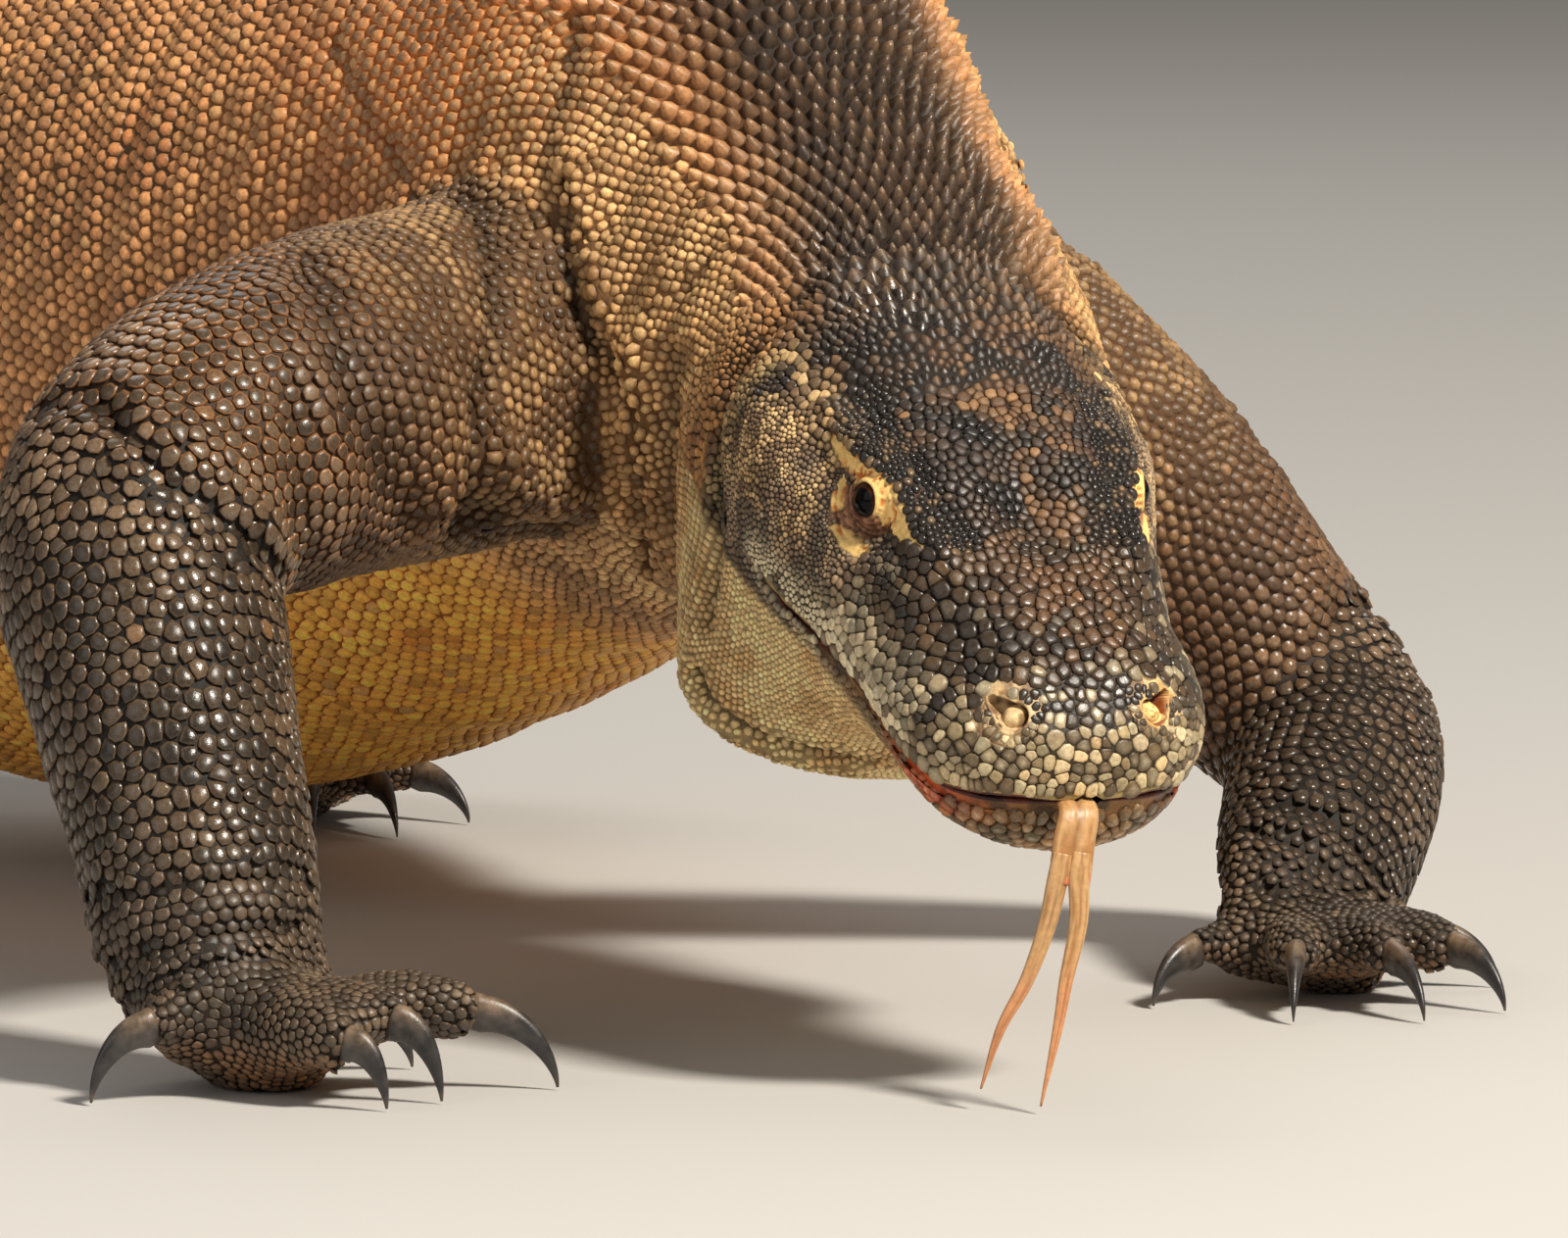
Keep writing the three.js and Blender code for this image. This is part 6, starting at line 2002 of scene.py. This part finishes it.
ebp.inputs["Strength"].default_value, ebp.inputs["Distance"].default_value = 0.15, 0.00004
nt.links.new(nz.outputs["Fac"], ebp.inputs["Height"])
nt.links.new(ebp.outputs["Normal"], eb.inputs["Normal"])
eb.inputs["Specular IOR Level"].default_value = 0.14

for name, (ball, axis, e1, e2) in EYES.items():
    r = EYE_R
    prof = []
    for t in np.linspace(0, math.pi, 49):
        rr, z = r * math.sin(t), r * math.cos(t)
        z += 0.9 * math.exp(-((rr / 5.6) ** 4)) * (z > 0)
        prof.append((rr, z))
    v, quads, tris = revolve(prof, 64)
    world_v = ball + e1 * v[:, :1] + e2 * v[:, 1:2] + axis * v[:, 2:]
    quads = quads[:, ::-1] if np.dot(np.cross(e1, e2), axis) < 0 else quads
    tris = tris[:, ::-1] if np.dot(np.cross(e1, e2), axis) < 0 else tris
    ob = make_mesh(name, world_v, quads, tris)
    rad = np.hypot(v[:, 0], v[:, 1]) + 100 * (v[:, 2] < 0)
    iris = mix(np.ones((len(v), 1)) * rgb(70, 34, 16), np.ones((len(v), 1)) * rgb(38, 22, 14), smooth(noise(world_v, 1.3, 44), 0.3, 0.7))
    col = mix(np.ones((len(v), 1)) * rgb(6, 5, 6), iris, smooth(rad, 4.9, 5.6))
    col = mix(col, np.ones((len(v), 1)) * rgb(30, 18, 12), smooth(rad, 6.6, 7.6))
    paint(ob, col, np.ones(len(v)))
    ob.data.materials.append(eye_mat)
    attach(ob, "root")
    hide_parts(name)

# ------------------------------------------------------------------ claws
claw_mat, nt, cb = node_material("claw_horn")
tint = add(nt, "ShaderNodeAttribute", attribute_name="tint")
coord = add(nt, "ShaderNodeTexCoord")
nz = add(nt, "ShaderNodeTexNoise")
nz.inputs["Scale"].default_value, nz.inputs["Detail"].default_value = 260.0, 5.0
nt.links.new(coord.outputs["Object"], nz.inputs["Vector"])
mr = add(nt, "ShaderNodeMapRange")
mr.inputs["From Min"].default_value, mr.inputs["From Max"].default_value = 0.35, 0.68
mr.inputs["To Min"].default_value, mr.inputs["To Max"].default_value = 0.65, 1.55
nt.links.new(nz.outputs["Fac"], mr.inputs["Value"])
sc = add(nt, "ShaderNodeVectorMath", operation="SCALE")
nt.links.new(tint.outputs["Color"], sc.inputs[0])
nt.links.new(mr.outputs["Result"], sc.inputs["Scale"])
nt.links.new(sc.outputs["Vector"], cb.inputs["Base Color"])
cr = add(nt, "ShaderNodeMapRange")
cr.inputs["To Min"].default_value, cr.inputs["To Max"].default_value = 0.22, 0.5
nt.links.new(nz.outputs["Fac"], cr.inputs["Value"])
nt.links.new(cr.outputs["Result"], cb.inputs["Roughness"])
fine = add(nt, "ShaderNodeTexNoise")
fine.inputs["Scale"].default_value, fine.inputs["Detail"].default_value = 1400.0, 3.0
nt.links.new(coord.outputs["Object"], fine.inputs["Vector"])
cbp = add(nt, "ShaderNodeBump")
cbp.inputs["Strength"].default_value, cbp.inputs["Distance"].default_value = 0.5, 0.0002
nt.links.new(fine.outputs["Fac"], cbp.inputs["Height"])
nt.links.new(cbp.outputs["Normal"], cb.inputs["Normal"])
cb.inputs["Specular IOR Level"].default_value = 0.6


def claw_mesh(rows, c, end, reach, root, seed):
    """A compressed, curved cone with a blunt back and a thin lower edge, from inside the toe to the floor."""
    last = unit(unit(rows[3][:3] - rows[2][:3]) + unit(np.array([c[0], c[1], -0.55])))
    t = np.concatenate([[-0.16, -0.08], np.linspace(0, 1, 27)])

    def at(u):
        u = np.atleast_1d(u)
        v = np.clip(u, 0, 1)
        q = end + last * 0.3 + c * (reach * (1 - (1 - v) ** 1.5))[:, None] + np.array([0, 0, 1.0]) * (-(root - 0.8) * v**1.7)[:, None]
        return q + last * np.minimum(u, 0)[:, None] * reach

    q = at(t)
    along = unit(at(t + 0.03) - at(t - 0.03))
    up = unit(np.array([0, 0, 1.0]) - along * along[:, 2:])
    side = np.cross(along, up)
    v = np.clip(t, 0, 1)
    k = 1 - 0.93 * v**1.15
    segs = 20
    f = 2 * np.pi * np.arange(segs) / segs
    cf, sf = np.cos(f)[None], np.sin(f)[None]
    # keel-less rounded back, narrower below
    wide = 4.7 * k[:, None] * cf * (0.80 + 0.20 * sf)
    high = 6.9 * k[:, None] * np.where(sf > 0, sf, sf * 0.92)
    rings = q[:, None] + side[:, None] * wide[..., None] + up[:, None] * high[..., None]
    rings += side[:, None] * ((noise(rings.reshape(-1, 3), (2.2, 2.2, 9), seed).reshape(rings.shape[:2]) - 0.5) * 0.25 * k[:, None])[..., None]
    vv, quads, caps = ring_mesh(rings)
    base = np.concatenate([np.repeat(v, segs), [0, 1]])
    ridge = np.concatenate([np.tile(np.sin(f), len(t)), [0, 0]])
    col = mix(np.ones((len(vv), 1)) * rgb(66, 60, 56), np.ones((len(vv), 1)) * rgb(44, 40, 40), smooth(base, 0.1, 0.6))
    col = mix(col, np.ones((len(vv), 1)) * rgb(122, 100, 78), (1 - smooth(base, 0.05, 0.42)) * smooth(ridge, -0.2, 0.8) * 0.75)
    col = mix(col, np.ones((len(vv), 1)) * rgb(96, 82, 68), smooth(base, 0.86, 1.0) * 0.6)
    col = col * (0.8 + 0.4 * noise(vv, (3, 3, 6), seed + 1))[:, None]
    return vv, quads, caps, col


for key, limb in LIMBS.items():
    vs, qs, ts, cs, at0 = [], [], [], [], 0
    for name, (k2, digit, rows, c, ahead, end) in TOES.items():
        if k2 != key:
            continue
        vv, quads, caps, col = claw_mesh(rows, c, end, digit[3], digit[5], 50 + at0 % 17)
        vs.append(vv); qs.append(quads + at0); ts.append(caps + at0); cs.append(col)
        at0 += len(vv)
    V = np.concatenate(vs)
    V[:, 2] = np.maximum(V[:, 2], 0.3)
    ob = make_mesh(f"{key}_claws", V, np.concatenate(qs), np.concatenate(ts))
    paint(ob, np.concatenate(cs), np.ones(len(V)))
    ob.data.materials.append(claw_mat)
    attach(ob, "root")
    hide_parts(*[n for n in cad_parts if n.startswith(f"{key}_claw_")])

# ------------------------------------------------------------------ tongue
LIP_AT = head_point(-3, -4, -3)
STEM = [(*head_point(26, -4, -7.5), 6.5, 2.4), (*head_point(10, -4, -4.8), 7.0, 2.4)] + [
    (*(LIP_AT + np.array(d)), w, t) for d, w, t in [((0, 0, 0), 7.1, 2.3), ((-3.5, -3, -10.1), 7.6, 2.2), ((-5.3, -4, -18.9), 7.7, 2.1), ((-6.6, -4.8, -25.0), 7.4, 2.0)]
]
TINE_RIGHT = [(*(LIP_AT + np.array(d)), w, t) for d, w, t in [((-8.6, -4, -14.0), 3.4, 1.7), ((-10.6, -4, -22.5), 3.8, 2.0), ((-13.7, -2, -38.7), 3.3, 1.9), ((-20.3, 0, -56.9), 2.6, 1.7), ((-28.9, 3, -73.5), 1.8, 1.3), ((-34.3, 7, -94), 0.4, 0.4)]]
TINE_LEFT = [(*(LIP_AT + np.array(d)), w, t) for d, w, t in [((-1.6, -4.6, -14.0), 3.4, 1.7), ((-3.4, -6, -22.5), 3.8, 2.0), ((-5.2, -8.5, -37.9), 3.3, 1.9), ((-11.1, -10.5, -56.4), 2.5, 1.6), ((-15.4, -12, -72.7), 1.8, 1.2), ((-22.3, -12.5, -98.6), 0.4, 0.4)]]
tongue_mat, nt, tb = node_material("tongue")
tint = add(nt, "ShaderNodeAttribute", attribute_name="tint")
coord = add(nt, "ShaderNodeTexCoord")
nz = add(nt, "ShaderNodeTexNoise")
nz.inputs["Scale"].default_value, nz.inputs["Detail"].default_value = 420.0, 4.0
nt.links.new(coord.outputs["Object"], nz.inputs["Vector"])
mr = add(nt, "ShaderNodeMapRange")
mr.inputs["From Min"].default_value, mr.inputs["From Max"].default_value = 0.3, 0.7
mr.inputs["To Min"].default_value, mr.inputs["To Max"].default_value = 0.86, 1.12
nt.links.new(nz.outputs["Fac"], mr.inputs["Value"])
sc = add(nt, "ShaderNodeVectorMath", operation="SCALE")
nt.links.new(tint.outputs["Color"], sc.inputs[0])
nt.links.new(mr.outputs["Result"], sc.inputs["Scale"])
nt.links.new(sc.outputs["Vector"], tb.inputs["Base Color"])
tr = add(nt, "ShaderNodeMapRange")
tr.inputs["To Min"].default_value, tr.inputs["To Max"].default_value = 0.25, 0.5
nt.links.new(nz.outputs["Fac"], tr.inputs["Value"])
nt.links.new(tr.outputs["Result"], tb.inputs["Roughness"])
tbp = add(nt, "ShaderNodeBump")
tbp.inputs["Strength"].default_value, tbp.inputs["Distance"].default_value = 0.5, 0.00025
nt.links.new(nz.outputs["Fac"], tbp.inputs["Height"])
nt.links.new(tbp.outputs["Normal"], tb.inputs["Normal"])
tb.inputs["Subsurface Weight"].default_value = 0.12
tb.inputs["Subsurface Radius"].default_value = (0.003, 0.0015, 0.0008)


def ribbon(pts, steps, groove, seed, stem):
    pts = np.array(pts, float)
    ks = np.arange(len(pts))
    k = np.linspace(0, len(pts) - 1, steps)
    row = cubic(ks, pts, k)
    along = unit(cubic(ks, pts, np.clip(k + 0.05, 0, ks[-1]))[:, :3] - cubic(ks, pts, np.clip(k - 0.05, 0, ks[-1]))[:, :3])
    wide = unit(HL - along * (along @ HL)[:, None])
    front = unit(np.cross(along, wide))
    segs = 28
    f = 2 * np.pi * np.arange(segs) / segs
    cf, sf = np.cos(f)[None], np.sin(f)[None]
    w, t = row[:, 3:4], row[:, 4:5]
    x = w * cf
    y = t * sf * (1 - groove[0] * np.exp(-((cf / 0.16) ** 2)) - groove[1] * np.exp(-(((np.abs(cf) - 0.52) / 0.13) ** 2)))
    rings = row[:, None, :3] + wide[:, None] * x[..., None] + front[:, None] * y[..., None]
    vv, quads, caps = ring_mesh(rings)
    cfv = np.concatenate([np.tile(np.cos(f), steps), [0, 0]])
    kv = np.concatenate([np.repeat(k, segs), [0, len(pts) - 1]])
    one = np.ones((len(vv), 1))
    streak = noise(np.stack([cfv * 10, kv * 1.2, kv * 0], 1), (1.5, 1.0, 1.0), seed)
    col = mix(one * rgb(200, 158, 108), one * rgb(168, 120, 72), smooth(streak, 0.45, 0.8))
    col = mix(col, one * rgb(142, 94, 52), np.exp(-((cfv / 0.15) ** 2)) * (0.75 if stem else 0.35))
    col = mix(col, one * rgb(188, 132, 76), np.exp(-(((np.abs(cfv) - 0.52) / 0.12) ** 2)) * (0.5 if stem else 0.2))
    if not stem:
        col = mix(col, one * rgb(214, 120, 84), smooth(kv, 2.2, 3.6)[:, None] * 0.35)
    return vv, quads, caps, col


vs, qs, ts, cs, at0 = [], [], [], [], 0
for pts, steps, groove, seed, stem in ((STEM, 44, (0.55, 0.22), 71, True), (TINE_RIGHT, 66, (0.3, 0.1), 72, False), (TINE_LEFT, 66, (0.3, 0.1), 73, False)):
    vv, quads, caps, col = ribbon(pts, steps, groove, seed, stem)
    if stem:
        fork = (1 - smooth(vv[:, 2], LIP_AT[2] - 25, LIP_AT[2] - 19))
        col = mix(col, np.ones((len(vv), 1)) * rgb(206, 96, 66), fork * 0.8)
    vs.append(vv); qs.append(quads + at0); ts.append(caps + at0); cs.append(col)
    at0 += len(vv)
ob = make_mesh("tongue", np.concatenate(vs), np.concatenate(qs), np.concatenate(ts))
paint(ob, np.concatenate(cs), np.ones(at0))
ob.data.materials.append(tongue_mat)
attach(ob, "root")
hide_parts("tongue")

WORLD = 0.20
KEY = (-46.0, 44.0, 5.0, 0.8, 330.0, (1.0, 0.94, 0.84))
FILL = (45.0, 25.0, 5.0, 3.5, 34.0, (0.95, 0.97, 1.0))
RIM = (170.0, 45.0, 6.0, 3.0, 70.0, (1.0, 0.98, 0.95))


# ------------------------------------------------------------------ camera, floor and light
scene = bpy.context.scene
cam_data = bpy.data.cameras.new("camera")
cam_data.sensor_width = 36.0
cam_data.lens = 303.75
cam_data.clip_start, cam_data.clip_end = 0.1, 500.0
camera = bpy.data.objects.new("camera", cam_data)
camera.location = (-2.3725 - ORIGIN[0] / 1000, -4.511 - ORIGIN[1] / 1000, 0.6)
heading, dip = math.radians(30.0), math.atan(1311.5 / 13500.0)
look = Vector((math.sin(heading) * math.cos(dip), math.cos(heading) * math.cos(dip), -math.sin(dip)))
camera.rotation_mode = "QUATERNION"
camera.rotation_quaternion = look.to_track_quat("-Z", "Y")
scene.collection.objects.link(camera)
scene.camera = camera

floor_me = bpy.data.meshes.new("floor")
floor_me.from_pydata([(-60, -60, 0), (60, -60, 0), (60, 60, 0), (-60, 60, 0)], [], [(0, 1, 2, 3)])
floor = bpy.data.objects.new("floor", floor_me)
floor.location.z = -0.0004
scene.collection.objects.link(floor)
floor_mat = bpy.data.materials.new("floor")
floor_mat.use_nodes = True
fb = floor_mat.node_tree.nodes["Principled BSDF"]
fb.inputs["Roughness"].default_value = 0.85
fb.inputs["Base Color"].default_value = (0.62, 0.60, 0.57, 1)
floor_me.materials.append(floor_mat)

world = bpy.data.worlds.new("studio")
scene.world = world
world.use_nodes = True
world.node_tree.nodes["Background"].inputs["Color"].default_value = (0.86, 0.83, 0.78, 1)
world.node_tree.nodes["Background"].inputs["Strength"].default_value = WORLD


def area_light(name, azimuth, elevation, distance, size, power, color):
    """A soft square light aimed at the animal; azimuth counts from the camera's side towards its left."""
    data = bpy.data.lights.new(name, "AREA")
    data.shape = "SQUARE"
    data.size = size
    data.energy = power
    data.color = color
    ob = bpy.data.objects.new(name, data)
    a = math.radians(azimuth) + heading
    e = math.radians(elevation)
    target = Vector((0.0, -0.75, 0.2))
    back = Vector((-math.sin(a) * math.cos(e), -math.cos(a) * math.cos(e), math.sin(e)))
    ob.location = target + back * distance
    ob.rotation_mode = "QUATERNION"
    ob.rotation_quaternion = (-back).to_track_quat("-Z", "Y")
    ob.visible_camera = False
    scene.collection.objects.link(ob)
    return ob


area_light("key", *KEY)
area_light("fill", *FILL)
area_light("rim", *RIM)
scene.view_settings.view_transform = "Standard"
